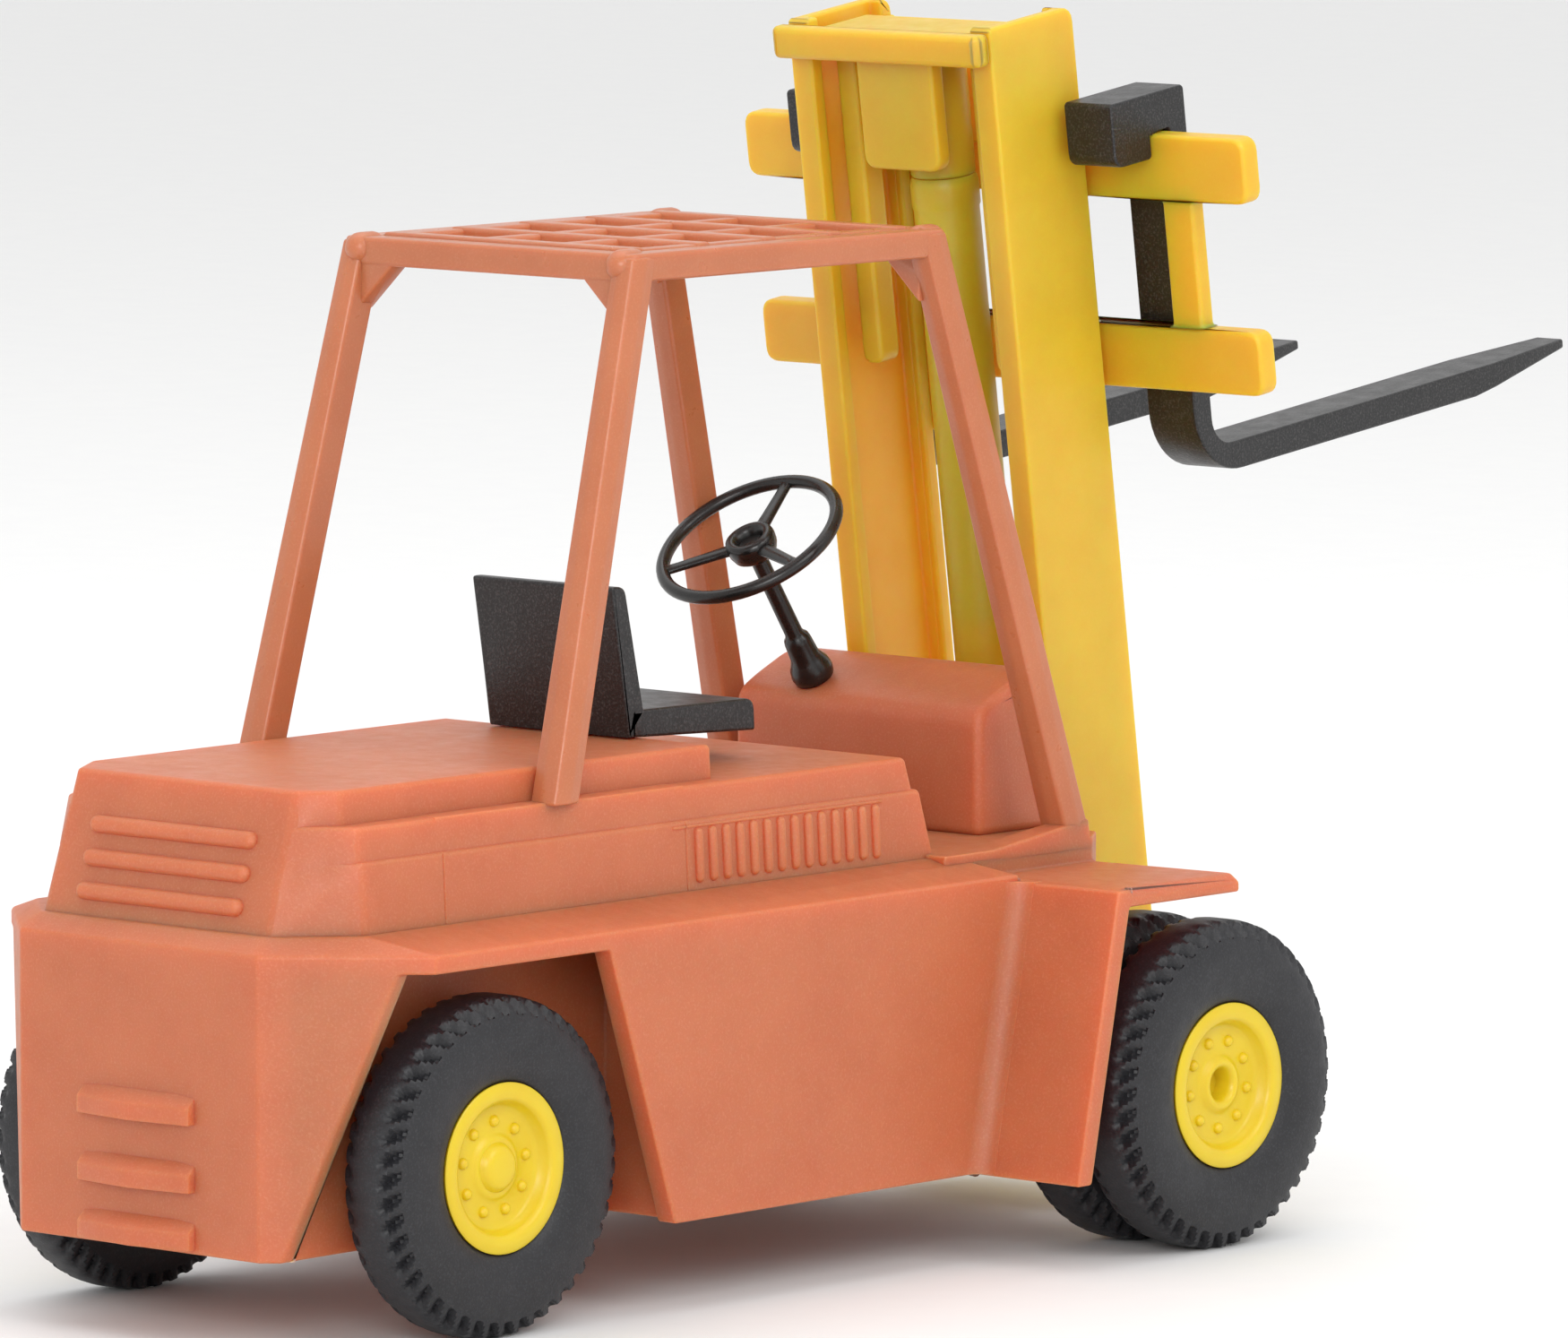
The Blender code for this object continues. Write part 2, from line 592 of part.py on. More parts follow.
def outer_mast(pivot):
    """Two channel rails, tied together at the foot, with lugs that hang on the pivot pin."""
    shapes = []
    for side in (-1, 1):
        channel = [
            (side * RAIL_OUTER, RAIL_REAR), (side * RAIL_OUTER, RAIL_FRONT), (side * RAIL_INNER, RAIL_FRONT),
            (side * RAIL_INNER, RAIL_FRONT - FLANGE), (side * RAIL_WEB, RAIL_FRONT - FLANGE),
            (side * RAIL_WEB, RAIL_REAR + FLANGE), (side * RAIL_INNER, RAIL_REAR + FLANGE),
            (side * RAIL_INNER, RAIL_REAR),
        ]
        shapes.append(prism(f"rail {side}", channel, 2, (RAIL_BOTTOM, RAIL_TOP), on_mast))
        lug = [(RAIL_REAR + 0.3, -1.6), (RAIL_REAR + 0.3, 2.2)]
        lug += [
            (LUG_R * math.cos(math.radians(a)), LUG_R * math.sin(math.radians(a)))
            for a in range(100, 261, 20)
        ]
        shapes.append(prism(f"lug {side}", lug, 0, (side * RAIL_INNER, side * RAIL_OUTER), on_mast))
    shapes.append(box("foot", (-RAIL_WEB - 0.1, RAIL_REAR, RAIL_BOTTOM),
                      (RAIL_WEB + 0.1, RAIL_FRONT, RAIL_BOTTOM + 0.8), on_mast))
    shapes.append(box("tie", (-RAIL_WEB - 0.1, RAIL_REAR, 5.5),
                      (RAIL_WEB + 0.1, RAIL_REAR + 0.5, 8.0), on_mast))
    mast = join("outer_mast", shapes)
    bore = cylinder("pivot bore", (-6, 0, 0), (6, 0, 0), PIN_R + AXLE_FIT, 16, on_mast)
    cut(mast, [bore])
    return finish(place_on(pivot, mast), YELLOW, pivot)


def lift_cylinder(pivot):
    foot = RAIL_BOTTOM + 0.8 + GAP
    barrel = join("lift_barrel", [
        cylinder("barrel", (0, MAST_MIDDLE, foot), (0, MAST_MIDDLE, 25.2), BARREL_R, 20, on_mast),
    ])
    bore_r = ROD_R + AXLE_FIT
    cut(barrel, [cylinder("barrel bore", (0, MAST_MIDDLE, 12), (0, MAST_MIDDLE, 27), bore_r, 16, on_mast)])
    finish(place_on(pivot, barrel), YELLOW, pivot)
    rod = cylinder("lift_rod", (0, MAST_MIDDLE, 12.5), (0, MAST_MIDDLE, YOKE_BOTTOM - GAP), ROD_R, 16,
                   on_mast, False)
    finish(rod, STEEL, pivot)


def inner_mast(pivot):
    """The sliding stage: a yoke over the rails' rear edges, a hanging tab and two short legs."""
    reach = RAIL_INNER - 0.12
    crossbar = [(-3.8, 0.22), (-3.7, 0.08), (3.7, 0.08), (3.8, 0.22), (3.8, 0.62), (3.7, 0.72), (-3.7, 0.72),
                (-3.8, 0.62)]
    shapes = [
        prism("crossbar", crossbar, 2, (YOKE_BOTTOM, YOKE_TOP), on_mast),
        box("yoke", (-reach, 0.5, YOKE_BOTTOM), (reach, MAST_MIDDLE + 0.6, YOKE_TOP), on_mast),
    ]
    tab = [(-1.45, YOKE_BOTTOM + 0.3), (-1.45, 26.1), (-1.33, 25.8), (-1.05, 25.65), (1.05, 25.65),
           (1.33, 25.8), (1.45, 26.1), (1.45, YOKE_BOTTOM + 0.3)]
    shapes.append(prism("tab", tab, 1, (0.88, 1.45), on_mast))
    for side in (-1, 1):
        leg = [(side * 2.2, YOKE_BOTTOM + 0.3), (side * 2.2, 19.95), (side * 2.3, 19.7), (side * 2.58, 19.6),
               (side * 2.86, 19.7), (side * 2.96, 19.95), (side * 2.96, YOKE_BOTTOM + 0.3)]
        shapes.append(prism(f"leg {side}", leg, 1, (1.7, 2.55), on_mast))
    return finish(place_on(pivot, join("inner_mast", shapes)), YELLOW, pivot)


def carriage(pivot):
    """Two fork bars, the struts between them and the guide plates that run on the rails."""
    shapes = []
    for name, (low, high) in (("lower", LOWER_BAR), ("upper", UPPER_BAR)):
        corner = 0.3
        bar = [(-CARRIAGE_HALF, low + corner), (-CARRIAGE_HALF + corner, low), (CARRIAGE_HALF - corner, low),
               (CARRIAGE_HALF, low + corner), (CARRIAGE_HALF, high - corner), (CARRIAGE_HALF - corner, high),
               (-CARRIAGE_HALF + corner, high), (-CARRIAGE_HALF, high - corner)]
        shapes.append(prism(f"{name} bar", bar, 1, (BAR_REAR, BAR_FRONT), on_mast))
    for side in (-1, 1):
        right = sorted((side * 6.15, side * 7.8))
        shapes.append(box(f"strut {side}", (right[0], BAR_REAR + 0.08, LOWER_BAR[0] + 0.5),
                          (right[1], BAR_FRONT - 0.08, UPPER_BAR[1] - 0.5), on_mast))
        right = sorted((side * 2.9, side * 3.88))
        shapes.append(box(f"guide {side}", (right[0], RAIL_FRONT + 0.1, 16.9),
                          (right[1], BAR_REAR + 0.2, 28.1), on_mast))
    return finish(place_on(pivot, join("carriage", shapes)), YELLOW, pivot)


def fork(pivot, word, side):
    """One hooked fork: hook over the upper bar, upright shank, rounded heel and a tapered blade."""
    play = 0.08
    front = BAR_FRONT + play
    shank = 0.78
    hook_top = 27.4
    heel = 1.15
    blade_top = FORK_BOTTOM + 0.85
    outline = [
        (BAR_REAR - play, 25.0), (3.35, 25.0), (3.2, 25.2), (3.2, hook_top - 0.15), (3.35, hook_top),
        (front + shank - 0.15, hook_top), (front + shank, hook_top - 0.15),
    ]
    inner_r = 0.4
    corner = (front + shank + inner_r, blade_top + inner_r)
    outline += [
        (corner[0] - inner_r * math.cos(math.radians(a)), corner[1] - inner_r * math.sin(math.radians(a)))
        for a in (0, 30, 60, 90)
    ]
    outline += [(FORK_TIP, blade_top), (FORK_TIP, blade_top - 0.28), (18.8, FORK_BOTTOM)]
    outline += [
        (front + heel - heel * math.sin(math.radians(a)),
         FORK_BOTTOM + heel - heel * math.cos(math.radians(a)))
        for a in (0, 22, 45, 68, 90)
    ]
    outline += [(front, UPPER_BAR[1] + play), (BAR_REAR - play, UPPER_BAR[1] + play)]
    span = sorted((side * FORK_INNER, side * (FORK_INNER + FORK_WIDTH)))
    made = prism(f"fork_{word}", outline, 0, span, on_mast, False)
    narrow = []
    for edge, inwards in ((FORK_INNER, 1), (FORK_INNER + FORK_WIDTH, -1)):
        plan = [(side * edge, 19.8), (side * (edge + inwards * 0.42), FORK_TIP + 0.2),
                (side * (edge - inwards * 0.6), FORK_TIP + 0.2), (side * (edge - inwards * 0.6), 19.8)]
        narrow.append(prism(f"{word} tip side {inwards}", plan, 2, (14, 18), on_mast))
    cut(made, narrow)
    return finish(place_on(pivot, made), BLACK, pivot)


def pivot_pin():
    """The pin that the mast swings on, held in two arms from the front of the body."""
    pin = cylinder("mast_pivot_pin", (-4.6, PIVOT_AHEAD, PIVOT_UP), (4.6, PIVOT_AHEAD, PIVOT_UP), PIN_R, 16,
                   tool=False)
    finish(pin, STEEL)


def mast_bracket():
    """The arms in front of the body that carry the pivot pin."""
    arms = []
    side_view = [(BODY_FRONT + GAP, 7.0), (BODY_FRONT + GAP, 3.4)]
    side_view += [
        (PIVOT_AHEAD + LUG_R * math.cos(math.radians(a)), PIVOT_UP + LUG_R * math.sin(math.radians(a)))
        for a in range(-80, 81, 20)
    ]
    for side in (-1, 1):
        for name, near in (("inner", 2.2), ("outer", RAIL_OUTER + 0.1)):
            far = near + (0.8 if name == "inner" else 0.6)
            arms.append(prism(f"{name} arm {side}", side_view, 0, (side * near, side * far)))
    back = box("bracket back", (-4.6, BODY_FRONT + GAP, 3.4), (4.6, BODY_FRONT + 0.27, 7.0))
    bracket = join("mast_bracket", [back, *arms])
    bore = cylinder("bracket bore", (-6, PIVOT_AHEAD, PIVOT_UP), (6, PIVOT_AHEAD, PIVOT_UP), PIN_R + AXLE_FIT)
    return finish(cut(bracket, [bore]), ORANGE)


def build():
    lower_body()
    hood()
    cab_floor()
    dash_panel()
    chassis_plate()
    roof_guard()
    roof_grille()
    seat()
    steering_column()
    steering_wheel()
    rear_axle_housing()
    wheels()
    mast_bracket()
    pivot_pin()
    pivot = mast_pivot()
    outer_mast(pivot)
    lift_cylinder(pivot)
    inner_mast(pivot)
    carriage(pivot)
    fork(pivot, "left", -1)
    fork(pivot, "right", 1)


build()
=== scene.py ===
"""The looks of the toy forklift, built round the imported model.

Shapes are drawn in millimetres and scaled to metres when they are finished. A body point is (right,
ahead, up): right of the middle plane, ahead of the rear axle, above the ground. A mast point is
(right, ahead, along): ahead of the tilt pin and along the mast, square to each other in the leaning
mast's frame.
"""

import json
import math

import bmesh
import bpy
from mathutils import Matrix, Vector

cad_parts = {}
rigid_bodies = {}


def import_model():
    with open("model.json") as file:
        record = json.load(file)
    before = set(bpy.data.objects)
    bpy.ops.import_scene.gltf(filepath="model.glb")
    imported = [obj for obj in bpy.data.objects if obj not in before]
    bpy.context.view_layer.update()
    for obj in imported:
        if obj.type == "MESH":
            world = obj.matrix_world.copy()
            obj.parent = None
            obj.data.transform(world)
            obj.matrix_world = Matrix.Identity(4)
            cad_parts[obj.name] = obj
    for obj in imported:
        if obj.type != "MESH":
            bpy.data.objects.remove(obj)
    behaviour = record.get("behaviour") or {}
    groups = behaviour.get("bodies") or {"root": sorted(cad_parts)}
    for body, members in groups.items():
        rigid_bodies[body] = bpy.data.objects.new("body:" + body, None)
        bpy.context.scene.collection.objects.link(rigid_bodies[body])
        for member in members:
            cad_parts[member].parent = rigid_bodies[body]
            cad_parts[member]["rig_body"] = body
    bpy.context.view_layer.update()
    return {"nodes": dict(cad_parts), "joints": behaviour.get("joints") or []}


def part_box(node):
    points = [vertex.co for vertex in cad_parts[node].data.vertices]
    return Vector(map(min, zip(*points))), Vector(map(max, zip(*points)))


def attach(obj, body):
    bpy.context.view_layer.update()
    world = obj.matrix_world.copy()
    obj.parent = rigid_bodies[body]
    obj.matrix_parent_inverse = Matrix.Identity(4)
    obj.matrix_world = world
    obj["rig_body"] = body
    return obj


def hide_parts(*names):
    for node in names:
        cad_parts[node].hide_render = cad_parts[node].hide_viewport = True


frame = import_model()

MM = 0.001


# Places read from the frame -----------------------------------------------------------------------


def centre(node):
    low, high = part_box(node)
    return (Vector(low) + Vector(high)) / 2 / MM


def extent(node):
    low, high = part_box(node)
    return (Vector(high) - Vector(low)) / MM


def joint(name):
    return next(item for item in frame["joints"] if item["name"] == name)


REAR_AXLE = centre("rear_axle")
FRONT_AXLE = centre("front_axle")
PIVOT = centre("mast_pivot_pin")
TYRE_R = extent("rear_left_tyre").z / 2
TYRE_WIDTH = extent("rear_left_tyre").x
RIM_R = extent("rear_left_rim").z / 2
SLIDE_AXIS = joint("carriage_slide")["axis"]
MAST_LEAN = math.atan2(SLIDE_AXIS[1], SLIDE_AXIS[2])
STEERING_CENTRE = Vector(joint("steering_spin")["pos_m"]) / MM
STEERING_AXIS = Vector(joint("steering_spin")["axis"])
COLUMN_LEAN = math.atan2(STEERING_AXIS.y, STEERING_AXIS.z)


def at(right, ahead, up):
    """A body point in the frame, in millimetres."""
    return Vector((-right, REAR_AXLE.y - ahead, up))


MAST_TURN = Matrix.Rotation(-MAST_LEAN, 3, "X")


def on_mast(right, ahead, along):
    """A mast point in the frame, in millimetres."""
    return PIVOT + MAST_TURN @ Vector((-right, -ahead, along))


def on_column(right, back, along):
    """A point round the steering wheel: its plane is right and back, its axis along."""
    turn = Matrix.Rotation(-COLUMN_LEAN, 3, "X")
    return STEERING_CENTRE + turn @ Vector((-right, back, along))


def in_frame(x, y, z):
    """A point that is in the frame already, in millimetres."""
    return Vector((x, y, z))


# Shapes -------------------------------------------------------------------------------------------

PIECES = bpy.data.collections.new("pieces")
bpy.context.scene.collection.children.link(PIECES)


def new_object(name, bm):
    """A closed mesh with its faces turned outwards."""
    bmesh.ops.recalc_face_normals(bm, faces=bm.faces)
    mesh = bpy.data.meshes.new(name)
    bm.to_mesh(mesh)
    bm.free()
    made = bpy.data.objects.new(name, mesh)
    PIECES.objects.link(made)
    return made


def hull(points, place=at):
    """The convex solid over some corner points."""
    bm = bmesh.new()
    for point in points:
        bm.verts.new(place(*point))
    found = bmesh.ops.convex_hull(bm, input=bm.verts)
    loose = [item for item in found["geom_interior"] if isinstance(item, bmesh.types.BMVert)]
    bmesh.ops.delete(bm, geom=loose, context="VERTS")
    return new_object("hull", bm)


def box(low, high, place=at):
    """A box between two opposite corners."""
    across, along, upwards = zip(low, high)
    return hull([(x, y, z) for x in across for y in along for z in upwards], place)


def prism(outline, axis, span, place=at):
    """A flat outline square to an axis, 0 right, 1 ahead or 2 up, pulled along it over a span."""
    bm = bmesh.new()

    def point(pair, along):
        values = list(pair)
        values.insert(axis, along)
        return place(*values)

    face = bm.faces.new([bm.verts.new(point(pair, span[0])) for pair in outline])
    pulled = bmesh.ops.extrude_face_region(bm, geom=[face])
    moved = [item for item in pulled["geom"] if isinstance(item, bmesh.types.BMVert)]
    bmesh.ops.translate(bm, verts=moved, vec=point(outline[0], span[1]) - point(outline[0], span[0]))
    return new_object("prism", bm)


def rings(loops, closed=False):
    """A skin over loops of points, each the same length, with flat ends unless it closes on itself."""
    bm = bmesh.new()
    rows = [[bm.verts.new(point) for point in loop] for loop in loops]
    pairs = list(zip(rows, rows[1:] + rows[:1])) if closed else list(zip(rows, rows[1:]))
    for row, following in pairs:
        for index in range(len(row)):
            after = (index + 1) % len(row)
            bm.faces.new((row[index], row[after], following[after], following[index]))
    if not closed:
        bm.faces.new(rows[0])
        bm.faces.new(rows[-1])
    return new_object("rings", bm)


def turns(steps):
    """Equal steps of one full turn."""
    return [2 * math.pi * step / steps for step in range(steps)]


def bar(start, end, radii, sides=24, place=at):
    """A round bar between two points; radii are (share of the length, radius) pairs along it."""
    first, last = place(*start), place(*end)
    turn = (last - first).to_track_quat("Z", "Y").to_matrix()
    loops = []
    for share, radius in radii:
        middle = first.lerp(last, share)
        loops.append([
            middle + turn @ Vector((radius * math.cos(angle), radius * math.sin(angle), 0))
            for angle in turns(sides)
        ])
    return rings(loops)


def bulge(start, end, radius, sides=16, place=at):
    """A round bar with domed ends that reach past both points by its radius."""
    length = (place(*end) - place(*start)).length
    steps = [(math.cos(math.radians(a)), math.sin(math.radians(a))) for a in range(8, 91, 16)]
    low = [(-run * radius / length, rise * radius) for run, rise in steps]
    high = [(1 - share, size) for share, size in reversed(low)]
    return bar(start, end, low + high, sides, place)


def rounded_outline(corners, radius, steps=4):
    """An outline with its corners rounded; each corner is (x, y) or (x, y, its own radius)."""
    points = []
    count = len(corners)
    for index, corner in enumerate(corners):
        here = Vector(corner[:2])
        own = corner[2] if len(corner) > 2 else radius
        before = Vector(corners[index - 1][:2]) - here
        after = Vector(corners[(index + 1) % count][:2]) - here
        reach = min(own, before.length * 0.48, after.length * 0.48)
        if reach < 0.01:
            points.append(tuple(here))
            continue
        start = here + before.normalized() * reach
        end = here + after.normalized() * reach
        for step in range(steps + 1):
            share = step / steps
            points.append(tuple(
                start * (1 - share) ** 2 + here * 2 * share * (1 - share) + end * share ** 2
            ))
    return points


def arc(middle, radius, start, end, steps):
    """Points on an arc, by degrees."""
    angles = [math.radians(start + (end - start) * step / steps) for step in range(steps + 1)]
    return [(middle[0] + radius * math.cos(a), middle[1] + radius * math.sin(a)) for a in angles]


def apply_modifiers(made):
    """Turns what the modifiers show into the object's own mesh."""
    shown = made.evaluated_get(bpy.context.evaluated_depsgraph_get())
    mesh = bpy.data.meshes.new_from_object(shown)
    made.modifiers.clear()
    made.data = mesh
    return made


def merge(first, others, operation):
    """Joins or cuts with several shapes at once, which are used up."""
    for other in others:
        step = first.modifiers.new(operation, "BOOLEAN")
        step.operation = operation
        step.object = other
        step.solver = "MANIFOLD"
    apply_modifiers(first)
    for other in others:
        bpy.data.objects.remove(other, do_unlink=True)
    return first


WELD_MM = 0.004               # points closer than this become one
FLAT_DEGREES = 0.6            # faces that meet more flatly than this become one


def clean(made):
    """Dissolves what a cut leaves in flat faces."""
    bm = bmesh.new()
    bm.from_mesh(made.data)
    bmesh.ops.remove_doubles(bm, verts=bm.verts, dist=WELD_MM)
    bmesh.ops.dissolve_degenerate(bm, edges=bm.edges, dist=WELD_MM)
    bmesh.ops.dissolve_limit(bm, angle_limit=math.radians(FLAT_DEGREES), verts=bm.verts, edges=bm.edges)
    bm.to_mesh(made.data)
    bm.free()
    return made


def soften(made, width, segments=3, angle=28):
    """Rounds the edges of a moulding, outer and inner ones alike."""
    step = made.modifiers.new("edges", "BEVEL")
    step.width = width
    step.segments = segments
    step.limit_method = "ANGLE"
    step.angle_limit = math.radians(angle)
    step.use_clamp_overlap = False
    step.miter_outer = "MITER_ARC"
    return apply_modifiers(made)


def joined(shapes):
    """One solid from shapes that overlap."""
    return merge(shapes[0], shapes[1:], "UNION") if len(shapes) > 1 else shapes[0]


def solid(adds, cuts=(), edge=0.1, segments=3, angle=28):
    """One solid from shapes and cutters, with its edges rounded afterwards."""
    made = joined(adds)
    if cuts:
        merge(made, list(cuts), "DIFFERENCE")
    return soften(clean(made), edge, segments, angle)


def largest_body(made):
    """Drops the small closed pockets that a join can leave inside a shape."""
    bm = bmesh.new()
    bm.from_mesh(made.data)
    waiting = set(bm.verts)
    bodies = []
    while waiting:
        body, reached = set(), [waiting.pop()]
        while reached:
            vertex = reached.pop()
            body.add(vertex)
            for edge in vertex.link_edges:
                other = edge.other_vert(vertex)
                if other in waiting:
                    waiting.remove(other)
                    reached.append(other)
        bodies.append(body)
    bodies.sort(key=len)
    for body in bodies[:-1]:
        bmesh.ops.delete(bm, geom=list(body), context="VERTS")
    bm.to_mesh(made.data)
    bm.free()
    return made


def rounded(made, edge=0.1, segments=3, angle=28):
    """A shape on its own with its edges rounded, ready to be joined."""
    return soften(clean(made), edge, segments, angle)


def finish_piece(made, name, node, look, smooth=38):
    """Scales a piece to metres, and gives it its material, shading and body; the imported node it
    stands for is hidden.
    """
    made.name = name
    made.data.name = name
    made.data.transform(Matrix.Scale(MM, 4))
    made.data.materials.clear()
    made.data.materials.append(look)
    made.data.shade_smooth()
    made.data.set_sharp_from_angle(angle=math.radians(smooth))
    weigh = made.modifiers.new("even shading", "WEIGHTED_NORMAL")
    weigh.keep_sharp = True
    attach(made, frame["nodes"][node]["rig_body"])
    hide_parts(node)
    return made


# Materials ----------------------------------------------------------------------------------------


def node_of(tree, kind, **inputs):
    """A shader node with its inputs set; an underscore stands for a space in an input's name."""
    made = tree.nodes.new(kind)
    for name, value in inputs.items():
        made.inputs[name.replace("_", " ")].default_value = value
    return made


def noise(tree, place, size_mm, detail=3.0):
    """A noise whose blotches are about size_mm across."""
    made = node_of(tree, "ShaderNodeTexNoise", Scale=1 / (size_mm * MM), Detail=detail, Roughness=0.6)
    tree.links.new(place, made.inputs["Vector"])
    return made.outputs["Fac"]


def ramp(tree, source, low, high, low_value, high_value):
    """Maps a range of the source onto two values."""
    made = node_of(tree, "ShaderNodeMapRange", From_Min=low, From_Max=high,
                   To_Min=low_value, To_Max=high_value)
    tree.links.new(source, made.inputs["Value"])
    return made.outputs["Result"]


def blend_colours(tree, factor, first, second):
    """Goes from the first to the second, each a colour or an output, as the factor rises."""
    made = tree.nodes.new("ShaderNodeMix")
    made.data_type = "RGBA"
    tree.links.new(factor, made.inputs["Factor"])
    for socket, value in ((made.inputs["A"], first), (made.inputs["B"], second)):
        if isinstance(value, bpy.types.NodeSocket):
            tree.links.new(value, socket)
        else:
            socket.default_value = (*value, 1)
    return made.outputs["Result"]


BLOTCH_MM, WEAR_MM, WAVE_MM, GRAIN_MM = 2.4, 0.6, 1.1, 0.07
MICRON = 1e-6
GLOW_RED_GREEN_BLUE = (1.0, 0.28, 0.12)     # how far each colour travels, as shares of the glow's reach


def moulded(name, colour, deep, fleck, roughness, grain_um=6.0, wave_um=10.0, flecks=0.35,
            glow=0.0, glow_mm=0.5, metallic=0.0):
    """Moulded plastic: blotches between two colours, light flecks, fine grain and slow waves."""
    look = bpy.data.materials.new(name)
    look.use_nodes = True
    tree = look.node_tree
    shader = tree.nodes["Principled BSDF"]
    place = tree.nodes.new("ShaderNodeTexCoord").outputs["Object"]
    blotches = ramp(tree, noise(tree, place, BLOTCH_MM), 0.35, 0.65, 0.0, 1.0)
    body = blend_colours(tree, blotches, colour, deep)
    specks = ramp(tree, noise(tree, place, GRAIN_MM, 2.0), 0.5, 0.75, 0.0, flecks)
    tree.links.new(blend_colours(tree, specks, body, fleck), shader.inputs["Base Color"])
    worn = ramp(tree, noise(tree, place, WEAR_MM), 0.3, 0.7, roughness - 0.05, roughness + 0.07)
    tree.links.new(worn, shader.inputs["Roughness"])
    grain = node_of(tree, "ShaderNodeBump", Strength=1.0, Distance=grain_um * MICRON)
    tree.links.new(noise(tree, place, GRAIN_MM, 2.0), grain.inputs["Height"])
    waves = node_of(tree, "ShaderNodeBump", Strength=1.0, Distance=wave_um * MICRON)
    tree.links.new(noise(tree, place, WAVE_MM, 1.0), waves.inputs["Height"])
    tree.links.new(grain.outputs["Normal"], waves.inputs["Normal"])
    tree.links.new(waves.outputs["Normal"], shader.inputs["Normal"])
    shader.inputs["Metallic"].default_value = metallic
    if glow:
        shader.inputs["Subsurface Weight"].default_value = glow
        shader.inputs["Subsurface Radius"].default_value = GLOW_RED_GREEN_BLUE
        shader.inputs["Subsurface Scale"].default_value = glow_mm * MM
    return look


ORANGE = moulded("orange moulding", (0.50, 0.143, 0.058), (0.47, 0.128, 0.051),
                 (0.68, 0.32, 0.20), 0.48, flecks=0.22, glow=0.8, glow_mm=2.4)
GUARD = moulded("guard moulding", (0.47, 0.158, 0.068), (0.44, 0.140, 0.058),
                (0.68, 0.32, 0.20), 0.32, grain_um=2.5, flecks=0.15, glow=0.4, glow_mm=1.0)
YELLOW = moulded("yellow moulding", (0.63, 0.43, 0.020), (0.60, 0.39, 0.016),
                 (0.72, 0.54, 0.08), 0.42, grain_um=2.0, wave_um=14.0, flecks=0.12,
                 glow=0.8, glow_mm=2.4)
RIM_YELLOW = moulded("rim moulding", (0.68, 0.50, 0.010), (0.65, 0.46, 0.009),
                     (0.76, 0.60, 0.06), 0.34, grain_um=1.5, flecks=0.1, glow=0.15)
BLACK = moulded("black moulding", (0.008, 0.0075, 0.008), (0.006, 0.006, 0.0065),
                (0.10, 0.095, 0.095), 0.38, grain_um=12.0, flecks=0.5)
GLOSS_BLACK = moulded("glossy black moulding", (0.010, 0.0085, 0.008), (0.007, 0.0065, 0.006),
                      (0.02, 0.018, 0.017), 0.26, grain_um=2.0, flecks=0.3)
RUBBER = moulded("tyre", (0.010, 0.010, 0.0125), (0.007, 0.007, 0.009),
                 (0.045, 0.045, 0.052), 0.48, grain_um=8.0, flecks=0.45)
STEEL = moulded("steel wire", (0.56, 0.56, 0.57), (0.46, 0.46, 0.47),
                (0.7, 0.7, 0.7), 0.3, grain_um=1.0, metallic=1.0)


# Body ---------------------------------------------------------------------------------------------

BODY_HALF = 8.16
BODY_BOTTOM = 2.55
LEDGE_OUTSIDE = 10.98         # the body's top edge, all round
LEDGE_INSIDE = 11.45          # where the ledge meets the hood
WEIGHT_REAR = -6.62
WEIGHT_HALF = 4.55
CHAMFER_AHEAD = -3.34         # where a chamfer meets the side
CHAMFER_WALL = 0.47
ARCH_LOW, ARCH_HIGH = 5.03, 7.38
WELL_INNER = 5.0
WELL_TOP = 10.47
SKIRT_INNER = 7.45
BODY_FRONT = 26.8
NOSE_HALF = 6.9
NOSE_CORNER = (6.1, 25.7)     # where a nose corner's bevel meets the front and the side
LEDGE_DEEP = 0.3              # how far the sloping ledge reaches down into the body
NOSE_TOP_REAR = 19.4          # the nose's own top starts here, below the ledge's level
NOSE_TOP_DROP = 0.14
FENDER_OUTER = 11.85
FENDER_LOW, FENDER_TOP = 10.3, 10.84
FENDER_TIP = 26.4
FILLET_REACH = 0.6
CUT_BOTTOM = 1.0              # cutters start below the body
AXLE_BORE_R = 0.56
CHEVRON_HALF, CHEVRON_TALL = 2.15, 0.95
CHEVRON_HEIGHTS = (6.12, 4.25, 2.65)


def nose_plan(rear):
    """The outline of the nose seen from above, from a rear line to its bevelled front corners."""
    half, side_end = NOSE_CORNER
    right = [(NOSE_HALF, rear), (NOSE_HALF, side_end), (half, BODY_FRONT)]
    return right + [(-x, y) for x, y in reversed(right)]


